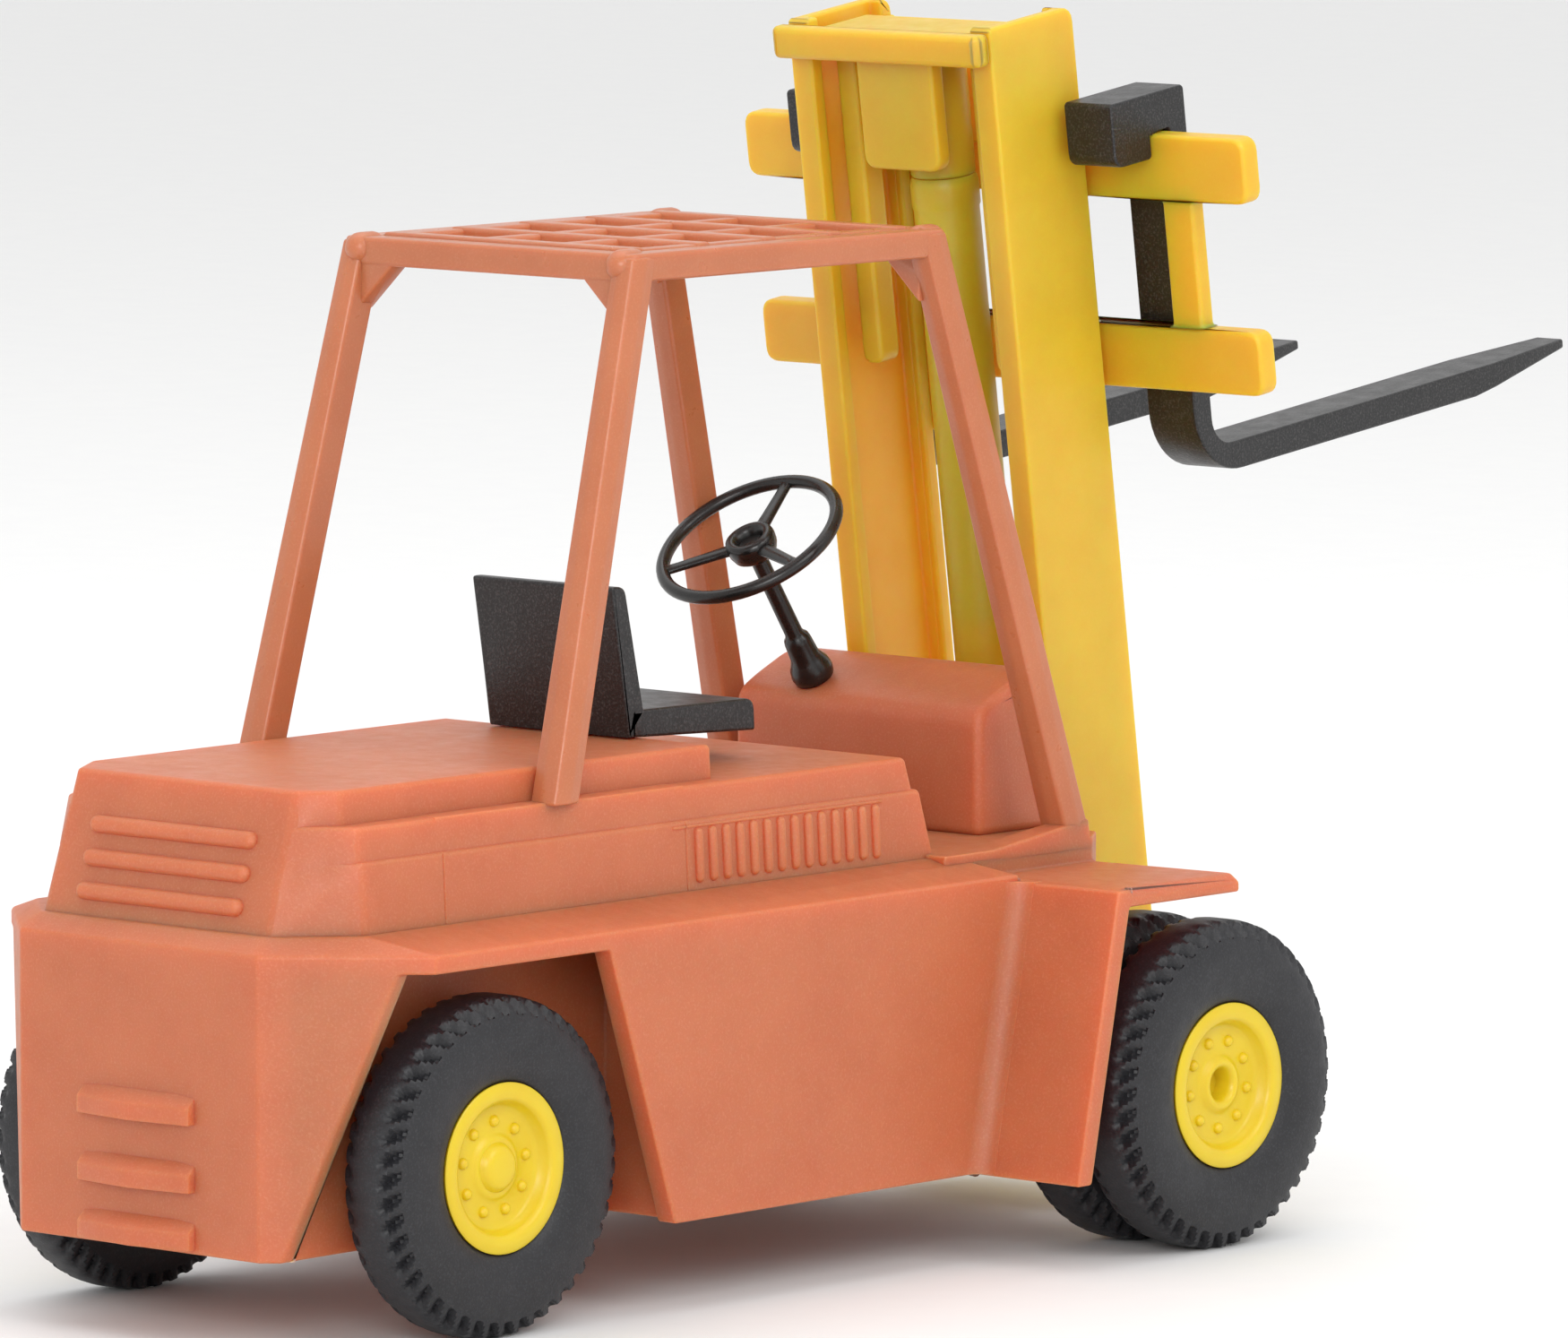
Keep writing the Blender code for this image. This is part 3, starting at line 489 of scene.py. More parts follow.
def body_blocks():
    """The counterweight, the middle and the nose under one sloping ledge."""
    plan = [(-WEIGHT_HALF, WEIGHT_REAR), (WEIGHT_HALF, WEIGHT_REAR), (BODY_HALF, CHAMFER_AHEAD),
            (BODY_HALF, -2.0), (-BODY_HALF, -2.0), (-BODY_HALF, CHAMFER_AHEAD)]
    weight = prism(plan, 2, (BODY_BOTTOM, LEDGE_OUTSIDE))
    skirt = [(-3.0, BODY_BOTTOM), (19.22, BODY_BOTTOM), (20.93, 10.6), (21.0, LEDGE_OUTSIDE),
             (-3.0, LEDGE_OUTSIDE)]
    middle = prism(skirt, 0, (-BODY_HALF, BODY_HALF))
    nose = prism(nose_plan(15), 2, (BODY_BOTTOM, LEDGE_OUTSIDE))
    outside = [*plan[:3], (BODY_HALF, 20.9), (-BODY_HALF, 20.9), plan[5]]
    inside = [(-4.3, -6.05), (4.3, -6.05), (6.35, -4.2), (6.35, 20.0), (-6.35, 20.0),
              (-6.35, -4.2)]
    ledge = hull(
        [(right, ahead, up) for right, ahead in outside
         for up in (LEDGE_OUTSIDE, LEDGE_OUTSIDE - LEDGE_DEEP)]
        + [(right, ahead, LEDGE_INSIDE) for right, ahead in inside]
    )
    front = prism(nose_plan(NOSE_TOP_REAR), 2, (LEDGE_OUTSIDE - 0.5, LEDGE_INSIDE - NOSE_TOP_DROP))
    return [weight, middle, nose, ledge, front]


def fender(side):
    """The panel behind the front wheels and the thin plate folded over them."""
    panel = hull(
        [(side * (BODY_HALF - 1.0), ahead, up)
         for ahead, up in ((19.17, BODY_BOTTOM), (20.88, 10.8), (19.8, BODY_BOTTOM), (21.5, 10.8))]
        + [(side * FENDER_OUTER, ahead, up)
           for ahead, up in ((19.3, 2.5), (21.05, 10.8), (19.9, 2.5), (21.65, 10.8))]
    )
    fold = ((21.0, FENDER_LOW), (21.06, 10.55), (21.22, 10.74), (21.5, FENDER_TOP))
    front = ((25.75, FENDER_TOP), (25.8, FENDER_LOW))
    points = [(side * right, ahead - 0.05, up) for right in (6.0, BODY_HALF) for ahead, up in fold]
    points += [(side * FENDER_OUTER, ahead, up) for ahead, up in fold[:2]]
    points += [(side * (FENDER_OUTER - 0.2), ahead, up) for ahead, up in fold]
    points += [(side * 6.0, ahead, up) for ahead, up in front]
    points += [(side * FENDER_OUTER, FENDER_TIP, up) for up in (FENDER_LOW, 10.6)]
    points.append((side * (FENDER_OUTER - 0.25), FENDER_TIP - 0.1, FENDER_TOP))
    return [panel, hull(points)]


def fillet(side):
    """The hollow curve between the skirt and the fender panel."""
    reach, inside, front = FILLET_REACH, BODY_HALF - 0.3, 0.35
    corner = arc((BODY_HALF + reach, -reach), reach, 180, 90, 10)
    outline = [(inside, front), (inside, -reach), *corner, (BODY_HALF + reach, front)]
    loops = []
    for up, rear in ((BODY_BOTTOM + 0.03, 19.2), (10.82, 20.93)):
        loops.append([at(side * right, rear + ahead, up) for right, ahead in outline])
    return rings(loops)


def wells(side):
    """Cutters for one rear wheel well, its opening in the skirt and the chamfer's slanted edge."""
    lean = (CHAMFER_AHEAD - WEIGHT_REAR) / (BODY_HALF - WEIGHT_HALF)
    wall = [(side * right, WEIGHT_REAR + CHAMFER_WALL + lean * (right - WEIGHT_HALF))
            for right in (WELL_INNER, SKIRT_INNER)]
    plan = [*wall, (side * SKIRT_INNER, 6.9), (side * WELL_INNER, 6.9)]
    opening = [(-5.0, CUT_BOTTOM), (-5.0, WELL_TOP), (3.7, WELL_TOP), (6.35, BODY_BOTTOM),
               (6.35, CUT_BOTTOM)]
    slope = [(side * ARCH_LOW, CUT_BOTTOM), (side * ARCH_LOW, BODY_BOTTOM),
             (side * ARCH_HIGH, WELL_TOP), (side * 12, WELL_TOP), (side * 12, CUT_BOTTOM)]
    return [
        prism(plan, 2, (CUT_BOTTOM, WELL_TOP)),
        prism(opening, 0, (side * (SKIRT_INNER - 0.1), side * (BODY_HALF + 0.5))),
        prism(slope, 1, (-8.5, -2.5)),
    ]


def chevron(up):
    """A wedge-shaped rib across the counterweight's rear face."""
    points = []
    for right, out in ((-CHEVRON_HALF, 0.25), (0, 0.5), (CHEVRON_HALF, 0.25)):
        points += [(right, WEIGHT_REAR + 0.2, up), (right, WEIGHT_REAR + 0.2, up + CHEVRON_TALL)]
        points += [(right, WEIGHT_REAR - out, up), (right, WEIGHT_REAR - out, up + 0.5)]
    return solid([hull(points)], edge=0.06, segments=2)


def lower_body():
    """The body moulding. Its ribs and fillets join once its edges are rounded."""
    cuts = [*wells(-1), *wells(1)]
    cuts.append(box((-SKIRT_INNER, 7.8, CUT_BOTTOM), (SKIRT_INNER, 18.2, 10.0)))
    cuts.append(box((-4.2, -5.0, CUT_BOTTOM), (4.2, 8.0, 10.0)))
    cuts.append(box((-6.1, 17.0, CUT_BOTTOM), (6.1, 25.5, 10.0)))
    for axle in (REAR_AXLE, FRONT_AXLE):
        ahead = REAR_AXLE.y - axle.y
        cuts.append(bar((-8, ahead, axle.z), (8, ahead, axle.z),
                        [(0, AXLE_BORE_R), (1, AXLE_BORE_R)]))
    body = solid([*body_blocks(), *fender(-1), *fender(1)], cuts, edge=0.09)
    merge(body, [*(chevron(up) for up in CHEVRON_HEIGHTS), fillet(-1), fillet(1)], "UNION")
    finish_piece(largest_body(body), "body_moulding", "lower_body", ORANGE)


HOOD_LOW = 11.47
LEFT_CORNER_SHIFT = 0.7       # the left rear corners start this much further ahead
HOOD_SUNK = 0.14              # how far its rounded bottom edge reaches into the ledge
HOOD_CORNER = -4.0            # where a side ends and the slanted rear corner begins
SIDE_TOP, SHOULDER_TOP, DECK_TOP = 13.45, 14.38, 15.33
HOOD_FRONT = 19.5
DECK_FRONT = 11.2
REAR_RIB_HALF, REAR_RIB_R = 2.9, 0.25
REAR_RIB_HEIGHTS = (13.9, 13.0, 12.1)
LOUVRES, LOUVRE_R = 14, 0.15
LOUVRE_FIRST, LOUVRE_LAST = 9.6, 17.1
LOUVRE_LOW, LOUVRE_HIGH = 11.8, 13.05
SEAM_R = 0.05
SEAM_PLACES = (-0.8, 9.1)


def rear_face(up):
    """Where the hood's one slanted rear face is at a height, and its half width there."""
    return -6.0 + 0.318 * (up - 11.2), 4.28 - 0.029 * (up - 11.2)


def hood_layer(bottom, top, far, corner, front):
    """A layer of the hood. Each pair is for its bottom and its top; far is its sides' half width."""
    points = []
    for level, index in ((bottom, 0), (top, 1)):
        rear, near = rear_face(level)
        for side, shift in ((-1, LEFT_CORNER_SHIFT), (1, 0.0)):
            points.append((side * near, rear, level))
            points.append((side * far[index], corner[index] + shift, level))
            points.append((side * far[index], front[index], level))
    return hull(points)


def side_wall(up):
    """Half width of the hood's lower side at a height."""
    return 6.15 - 0.06 * (up - HOOD_LOW)


def hood_layers():
    sunk = HOOD_LOW - HOOD_SUNK
    corner = HOOD_CORNER
    layers = [
        hood_layer(sunk, SIDE_TOP, (side_wall(HOOD_LOW), side_wall(SIDE_TOP)), (corner, corner),
                   (19.65, 19.1)),
        hood_layer(SIDE_TOP - 0.3, SHOULDER_TOP, (5.94, 5.88), (-4.05, corner), (19.0, 18.65)),
        hood_layer(SHOULDER_TOP - 0.3, DECK_TOP, (5.2, 5.12), (corner, -3.9), (DECK_FRONT, DECK_FRONT)),
    ]
    layers = [rounded(layer, 0.14, 4, 20) for layer in layers]
    for side in (-1, 1):
        step = box((side * 5.0, -0.95, SIDE_TOP - 0.2), (side * 5.9, 9.2, SHOULDER_TOP + 0.02))
        layers.append(rounded(step, 0.06))
    return layers


def on_side(side, ahead, up):
    """A point on the hood's lower side."""
    return (side * side_wall(up), ahead, up)


def hood():
    """Three stepped layers with rear ribs, side louvres under a fine line, and two seams a side."""
    made = joined(hood_layers())
    details = [bulge((-REAR_RIB_HALF, rear_face(up)[0], up), (REAR_RIB_HALF, rear_face(up)[0], up),
                     REAR_RIB_R) for up in REAR_RIB_HEIGHTS]
    pitch = (LOUVRE_LAST - LOUVRE_FIRST) / (LOUVRES - 1)
    seams = []
    for side in (-1, 1):
        for index in range(LOUVRES):
            ahead = LOUVRE_FIRST + index * pitch
            details.append(bulge(on_side(side, ahead, LOUVRE_LOW), on_side(side, ahead, LOUVRE_HIGH),
                                 LOUVRE_R, 10))
        details.append(bulge(on_side(side, 8.6, 13.25), on_side(side, 17.4, 13.25), SEAM_R, 8))
        for ahead in SEAM_PLACES:
            seams.append(bar(on_side(side, ahead, HOOD_LOW - 0.3), on_side(side, ahead, SIDE_TOP),
                             [(0, SEAM_R), (1, SEAM_R)], 6))
    merge(made, details, "UNION")
    merge(made, seams, "DIFFERENCE")
    finish_piece(made, "hood_moulding", "hood", ORANGE)


def cab_floor():
    """A flat floor between two sills whose tops rise towards the front posts."""
    rear, low, floor_top = HOOD_FRONT - 0.3, HOOD_LOW - 0.27, 11.56
    shapes = [rounded(prism(nose_plan(rear), 2, (low, floor_top)), 0.06)]
    for side in (-1, 1):
        sill = [(19.1, low), (19.1, 11.3), (25.55, 12.1), (NOSE_CORNER[1], low)]
        shapes.append(rounded(prism(sill, 0, (side * 6.05, side * NOSE_HALF)), 0.09))
    finish_piece(joined(shapes), "cab_floor_moulding", "cab_floor", ORANGE)


DASH_REAR = 23.55
DASH_LEFT, DASH_RIGHT = -5.1, 4.4


def dash_panel():
    low = HOOD_LOW + 0.04
    outline = rounded_outline([
        (DASH_REAR, low, 0), (DASH_REAR, 15.15, 0.5), (24.4, 15.6, 0.3), (25.8, 16.2, 0.5),
        (BODY_FRONT, 16.15, 0.2), (BODY_FRONT, low, 0),
    ], 0.3, 5)
    made = solid([prism(outline, 0, (DASH_LEFT, DASH_RIGHT))], edge=0.3, segments=5, angle=50)
    finish_piece(made, "dash_moulding", "dash_panel", ORANGE)


# Overhead guard -----------------------------------------------------------------------------------

GUARD_HALF = 5.57
GUARD_REAR, GUARD_FRONT = 7.43, 20.86
GUARD_TOP, GUARD_DEEP, GUARD_BAR = 29.36, 0.8, 0.8
POST_TOP = GUARD_TOP - 0.1
REAR_FOOT, REAR_HEAD = (5.25, 3.55, SHOULDER_TOP - 0.06), (4.8, 7.5, POST_TOP)
FRONT_FOOT, FRONT_HEAD = (5.85, 24.6, 11.85), (4.8, 19.8, POST_TOP)
REAR_FOOT_SIZE, FRONT_FOOT_SIZE, HEAD_SIZE = (0.95, 1.0), (0.98, 1.0), (0.76, 0.95)
RIDGE = 0.09                  # how far the raised middle of a post's face stands out
KNUCKLE_RIGHT, KNUCKLE_DOWN, KNUCKLE_R = 5.0, 0.34, 0.45
GUSSET_DOWN, GUSSET_IN, GUSSET_THICK = 1.3, 1.1, 0.7
LONG_BARS, LONG_BAR = 4, 0.55
CROSS_BARS, CROSS_BAR = 5, 0.6


def post(side, foot, top, foot_size, top_size):
    """A leaning four-sided post with a raised ridge along its outer faces."""
    points = []
    for corner, size in ((foot, foot_size), (top, top_size)):
        low = Vector(corner[:2])
        wide, deep = size
        outline = [(0, 0), (wide / 2, -RIDGE), (wide, 0), (wide + RIDGE, deep / 2), (wide, deep),
                   (wide / 2, deep + RIDGE), (0, deep)]
        points += [(side * (low.x + x), low.y + y, corner[2]) for x, y in outline]
    return hull(points)


def roof_frame(low, inner):
    plan = rounded_outline([(-GUARD_HALF, GUARD_REAR), (GUARD_HALF, GUARD_REAR),
                            (GUARD_HALF, GUARD_FRONT), (-GUARD_HALF, GUARD_FRONT)], 0.4, 5)
    opening = box((-inner, GUARD_REAR + GUARD_BAR, low - 1),
                  (inner, GUARD_FRONT - GUARD_BAR, GUARD_TOP + 1))
    return rounded(merge(prism(plan, 2, (low, GUARD_TOP)), [opening], "DIFFERENCE"), 0.12)


def roof_guard():
    """The roof's frame on four posts, with a gusset and a knuckle at each corner."""
    low, inner = GUARD_TOP - GUARD_DEEP, GUARD_HALF - GUARD_BAR
    shapes = [roof_frame(low, inner)]
    for side in (-1, 1):
        rear = post(side, REAR_FOOT, REAR_HEAD, REAR_FOOT_SIZE, HEAD_SIZE)
        front = post(side, FRONT_FOOT, FRONT_HEAD, FRONT_FOOT_SIZE, HEAD_SIZE)
        shapes += [rounded(rear, 0.09, 3, 16), rounded(front, 0.09, 3, 16)]
        for ahead in (GUARD_REAR + 0.05, GUARD_FRONT - 0.75):
            outer = side * (inner + 0.3)
            gusset = [(outer, low - GUSSET_DOWN), (outer, low + 0.3),
                      (side * (inner - GUSSET_IN), low + 0.3), (side * (inner - GUSSET_IN), low)]
            shapes.append(rounded(prism(gusset, 1, (ahead, ahead + GUSSET_THICK)), 0.08))
            right, up = side * KNUCKLE_RIGHT, GUARD_TOP - KNUCKLE_DOWN
            shapes.append(bulge((right, ahead + 0.15, up), (right, ahead + 0.6, up), KNUCKLE_R, 20))
    finish_piece(joined(shapes), "guard_moulding", "roof_guard", GUARD)


def roof_grille():
    """Long bars and cross bars that pass through one another."""
    inner = GUARD_HALF - GUARD_BAR - 0.03
    rear, front = GUARD_REAR + GUARD_BAR + 0.03, GUARD_FRONT - GUARD_BAR - 0.03
    low, high = GUARD_TOP - 0.5, GUARD_TOP + 0.04
    shapes = []
    for index in range(LONG_BARS):
        right = -inner + (2 * inner - LONG_BAR) * index / (LONG_BARS - 1)
        shapes.append(rounded(box((right, rear, low), (right + LONG_BAR, front, high)), 0.12, 4))
    for index in range(CROSS_BARS):
        ahead = rear + (front - rear - CROSS_BAR) * index / (CROSS_BARS - 1)
        cross = box((-inner - 0.02, ahead, low + 0.06), (inner + 0.02, ahead + CROSS_BAR, high + 0.05))
        shapes.append(rounded(cross, 0.12, 4))
    finish_piece(joined(shapes), "roof_lattice", "roof_grille", GUARD)


# Driver's place -----------------------------------------------------------------------------------

SEAT_HALF = 2.7
SEAT_BACK_TOP = 19.7


def seat():
    """A wedge-shaped back over a cushion that reaches out past the deck."""
    low, span = DECK_TOP + 0.05, (-SEAT_HALF, SEAT_HALF)
    back = [(10.45, low), (9.72, SEAT_BACK_TOP, 0.12), (10.3, SEAT_BACK_TOP, 0.35), (11.25, low)]
    cushion = [(10.6, low), (10.6, 16.15), (15.75, 16.1, 0.35), (15.8, 15.17, 0.1)]
    shapes = [rounded(prism(rounded_outline(outline, 0.02, 5), 0, span), 0.09, 3, 30)
              for outline in (back, cushion)]
    finish_piece(joined(shapes), "seat_moulding", "seat", BLACK)


COLUMN_LENGTH = 5.15


def steering_column():
    """The base, the collar and the rod, turned as one profile."""
    profile = [(0.0, 0.5), (0.01, 0.6), (0.05, 0.64), (0.1, 0.6), (0.14, 0.5), (0.17, 0.44),
               (0.28, 0.41), (0.31, 0.38), (0.325, 0.31), (0.35, 0.27), (0.97, 0.26), (1.0, 0.24)]
    made = bar((0, 0, -COLUMN_LENGTH), (0, 0, -0.28), profile, 32, on_column)
    finish_piece(made, "steering_column_moulding", "steering_column", GLOSS_BLACK, 60)


RING_R, WIRE_R = 2.72, 0.2
SPOKES, FIRST_SPOKE = 3, 20
CUP = ((0.5, -0.62), (0.66, -0.5), (0.74, -0.3), (0.76, -0.05), (0.72, 0.1), (0.6, 0.16),
       (0.48, 0.12), (0.4, 0.0), (0.36, -0.12))
# (distance from the middle, half width, half thickness, height) along a spoke
SPOKE = ((0.45, 0.26, 0.14, -0.14), (1.2, 0.22, 0.13, -0.1), (2.2, 0.19, 0.12, -0.04),
         (2.68, 0.2, 0.12, 0.0))


def steering_ring():
    loops = []
    for turn in turns(72):
        way = Vector((math.cos(turn), math.sin(turn), 0))
        loops.append([
            on_column(*(way * (RING_R + WIRE_R * math.cos(a)) + Vector((0, 0, WIRE_R * math.sin(a)))))
            for a in turns(14)
        ])
    return rings(loops, closed=True)


def spoke(angle):
    way = Vector((math.cos(angle), math.sin(angle), 0))
    across = Vector((-math.sin(angle), math.cos(angle), 0))
    loops = []
    for reach, half, thick, height in SPOKE:
        loops.append([
            on_column(*(way * reach + across * half * math.cos(a)
                        + Vector((0, 0, height + thick * math.sin(a)))))
            for a in turns(12)
        ])
    return rings(loops)


def steering_wheel():
    hub = rings([[on_column(radius * math.cos(a), radius * math.sin(a), along) for a in turns(32)]
                 for radius, along in CUP])
    spokes = [spoke(math.radians(FIRST_SPOKE + 360 / SPOKES * index)) for index in range(SPOKES)]
    made = joined([steering_ring(), hub, *spokes])
    finish_piece(made, "steering_wheel_moulding", "steering_wheel", GLOSS_BLACK, 50)


# Wheels -------------------------------------------------------------------------------------------

LUGS = 46
LUG_STEPS = 6                 # columns of points for each lug
STUDS, STUD_R, STUD_RING_R = 9, 0.17, 1.28
STUD_LOW, STUD_HIGH = 0.3, 0.41
RIM_COLUMNS = 96
REAR_PHASE, FRONT_PHASE = 90, 70
AXLE_SHORTER = {"rear_axle": 0.0, "front_axle": 0.9, "mast_pivot_pin": 0.0}
WIRE_EDGE = 0.1
BEAD_R, TYRE_SEAT_R = RIM_R + 0.17, RIM_R + 0.05
# One half of a tyre's section: radius, distance outwards as a share of the half width, groove depth
# and groove slant
TYRE_WALL = (
    (TYRE_SEAT_R, 0.55, 0, 0), (TYRE_SEAT_R + 0.02, 0.72, 0, 0), (BEAD_R, 0.80, 0, 0),
    (BEAD_R + 0.15, 0.88, 0, 0), (2.9, 0.96, 0, 0), (3.35, 0.995, 0, 0), (3.8, 0.985, 0, 0),
    (4.12, 0.94, 0, 0), (4.26, 0.895, 0.02, 0.0), (4.36, 0.87, 0.17, 0.05), (4.5, 0.80, 0.25, 0.15),
    (4.61, 0.71, 0.27, 0.3), (4.68, 0.62, 0.26, 0.45), (4.715, 0.53, 0.2, 0.55),
    (4.73, 0.46, 0.05, 0.62), (TYRE_R, 0.3, 0.0, 0), (TYRE_R, 0.0, 0.0, 0),
)
LIP_R = RIM_R + 0.08
# Rim sections: radius, distance outwards as a share of the half width
RIM_FACE = (
    (RIM_R - 0.01, -0.68), (RIM_R, 0.60), (RIM_R + 0.02, 0.70), (LIP_R, 0.75), (LIP_R, 0.80),
    (LIP_R - 0.06, 0.84), (1.98, 0.84), (1.89, 0.80), (1.83, 0.71), (1.75, 0.50), (1.66, 0.44),
    (1.54, 0.42),
)
HOLLOW_HUB = ((0.95, 0.42), (0.82, 0.46), (0.72, 0.58), (0.62, 0.60), (0.52, 0.56), (0.46, 0.40),
              (0.42, 0.02))
DOMED_HUB = ((1.0, 0.42), (0.9, 0.47), (0.84, 0.53), (0.76, 0.54), (0.70, 0.54), (0.64, 0.62),
             (0.58, 0.70), (0.48, 0.745), (0.34, 0.76), (0.2, 0.765), (0.08, 0.77))


def around(centre_point, side, profile, columns):
    """Loops about the wheel axle; profile(angle) gives (radius, distance outwards) points."""
    loops = []
    for angle in turns(columns):
        loops.append([
            centre_point + Vector((side * out, radius * math.cos(angle), radius * math.sin(angle)))
            for radius, out in profile(angle)
        ])
    return loops


def dished(loops):
    """A skin over open loops about an axle, closed by a flat face at each end of them."""
    bm = bmesh.new()
    rows = [[bm.verts.new(point) for point in loop] for loop in loops]
    for row, following in zip(rows, rows[1:] + rows[:1]):
        for index in range(len(row) - 1):
            bm.faces.new((row[index], row[index + 1], following[index + 1], following[index]))
    bm.faces.new([row[0] for row in rows])
    bm.faces.new([row[-1] for row in rows])
    return new_object("dished", bm)


def tyre_profile(angle):
    """The tyre's section at an angle: smooth walls and crown, with slanting lugs on both shoulders."""
    half = TYRE_WIDTH / 2
    mirrored = tuple((radius, -out, depth, slant + 0.5)
                     for radius, out, depth, slant in reversed(TYRE_WALL[:-1]))
    points = []
    for radius, out, depth, slant in TYRE_WALL + mirrored:
        share = (angle * LUGS / (2 * math.pi) + slant) % 1.0
        groove = min(1.0, max(0.0, (0.26 - abs(share - 0.5)) / 0.1))
        points.append((radius - depth * groove, out * half * (1 - 0.25 * depth * groove)))
    return points


def rim(centre_point, side, hollow, phase):
    """Lip, recessed disc, studs and hub, which is either bored or domed."""
    half = TYRE_WIDTH / 2
    face = RIM_FACE + (HOLLOW_HUB if hollow else DOMED_HUB)
    profile = [(radius, share * half) for radius, share in face]
    shapes = [dished(around(centre_point, side, lambda angle: profile, RIM_COLUMNS))]
    for index in range(STUDS):
        angle = phase + 2 * math.pi * index / STUDS
        reach = Vector((0, STUD_RING_R * math.cos(angle), STUD_RING_R * math.sin(angle)))
        start = centre_point + reach + Vector((side * half * STUD_LOW, 0, 0))
        end = centre_point + reach + Vector((side * half * STUD_HIGH, 0, 0))
        shapes.append(bulge(tuple(start), tuple(end), STUD_R, 16, in_frame))
    return joined(shapes)


def wheels():
    """A rear wheel and two front wheels on each side, each a tyre and a rim."""
    for word, side in (("left", 1), ("right", -1)):
        for node, hollow, phase in ((f"rear_{word}", False, REAR_PHASE),
                                    (f"front_{word}_inner", True, FRONT_PHASE),
                                    (f"front_{word}_outer", True, FRONT_PHASE)):
            middle = centre(f"{node}_tyre")
            tyre = rings(around(middle, side, tyre_profile, LUGS * LUG_STEPS), closed=True)
            finish_piece(tyre, f"{node}_tyre_rubber", f"{node}_tyre", RUBBER, 45)
            finish_piece(rim(middle, side, hollow, math.radians(phase)), f"{node}_rim_moulding",
                         f"{node}_rim", RIM_YELLOW, 50)


def axles():
    """Straight wires with broken edges. The front one ends inside the outer hubs' bores."""
    for node, shorter in AXLE_SHORTER.items():
        middle, size = centre(node), extent(node)
        radius, reach = size.z / 2, size.x / 2 - shorter
        start, end = middle - Vector((reach, 0, 0)), middle + Vector((reach, 0, 0))
        edge = WIRE_EDGE / size.x
        profile = [(0, radius * 0.8), (edge, radius), (0.5, radius), (1 - edge, radius),
                   (1, radius * 0.8)]
        made = bar(tuple(start), tuple(end), profile, 32, in_frame)
        finish_piece(made, f"{node}_wire", node, STEEL, 40)


# Mast ---------------------------------------------------------------------------------------------

RAIL_REAR, RAIL_FRONT = 0.82, 4.55
RAIL_OUTER, RAIL_INNER, RAIL_WEB = 3.9, 3.1, 3.5
RAIL_BOTTOM, RAIL_TOP = -3.3, 30.0
FLANGE = 0.5
FRONT_FLANGE_INNER = 2.92
FOOT_TALL = 0.8
TIE_LOW, TIE_HIGH = 5.5, 8.0
PIN_BORE_R = 0.46
LUG_R = 0.75
MAST_MIDDLE = 2.68
BARREL_TOP, BARREL_R, BARREL_COLLAR_R, BARREL_BORE_R = 25.2, 0.97, 1.01, 0.64
ROD_LOW, ROD_HIGH, ROD_R, ROD_THICK_R = 12.5, 28.85, 0.6, 0.95
YOKE_BOTTOM, YOKE_TOP, YOKE_HALF = 28.9, 29.75, 4.0
TAB_HALF, TAB_LOW = 1.45, 25.65
LEG_INNER, LEG_OUTER, LEG_LOW = 2.2, 2.96, 19.6
BAR_REAR, BAR_FRONT = 5.03, 5.75
CARRIAGE_LEFT, CARRIAGE_RIGHT = -9.85, 9.45
LOWER_BAR, UPPER_BAR = (18.6, 20.5), (24.25, 26.2)
STRUT_INNER, STRUT_OUTER = 6.15, 7.3
GUIDE_INNER, GUIDE_OUTER, GUIDE_LOW, GUIDE_HIGH = 2.5, 3.25, 16.9, 28.1
ANCHOR_HALF = 1.1
FORK_INNER, FORK_WIDTH = 4.3, 1.8
FORK_BOTTOM, FORK_TIP = 15.4, 23.6
FORK_PLAY = 0.08              # between a hook and its bar
SHANK, BLADE = 0.78, 0.85
HEEL_R, HEEL_INNER_R = 2.0, 0.85
HOOK_BOTTOM, HOOK_TOP = 25.5, 27.4
TAPER_START, TAPER = 19.8, 0.42
TIP_THICK = 0.28


def rail(side):
    """A channel rail's web and flanges, the strip that widens its front flange, and its pivot lug."""
    side_view = rounded_outline([
        (RAIL_REAR, RAIL_BOTTOM, 0.3), (RAIL_REAR, RAIL_TOP, 0.15), (RAIL_FRONT, RAIL_TOP, 0.45),
        (RAIL_FRONT, RAIL_BOTTOM, 0.3)], 0.3)
    channel = prism(side_view, 0, (side * RAIL_INNER, side * RAIL_OUTER), on_mast)
    groove = box((side * (RAIL_INNER - 0.5), RAIL_REAR + FLANGE, RAIL_BOTTOM - 1),
                 (side * RAIL_WEB, RAIL_FRONT - FLANGE, RAIL_TOP + 1), on_mast)
    strip = box((side * FRONT_FLANGE_INNER, RAIL_FRONT - FLANGE + 0.03, RAIL_BOTTOM + 0.05),
                (side * (RAIL_WEB + 0.1), RAIL_FRONT - 0.03, RAIL_TOP - 0.5), on_mast)
    lug = [(RAIL_REAR + 0.3, -1.6), (RAIL_REAR + 0.3, 2.2), *arc((0, 0), LUG_R, 100, 260, 12)]
    lug_span = (side * (RAIL_INNER + 0.03), side * (RAIL_OUTER - 0.03))
    return [
        rounded(merge(channel, [groove], "DIFFERENCE"), 0.1),
        rounded(strip),
        rounded(prism(lug, 0, lug_span, on_mast), 0.08),
    ]


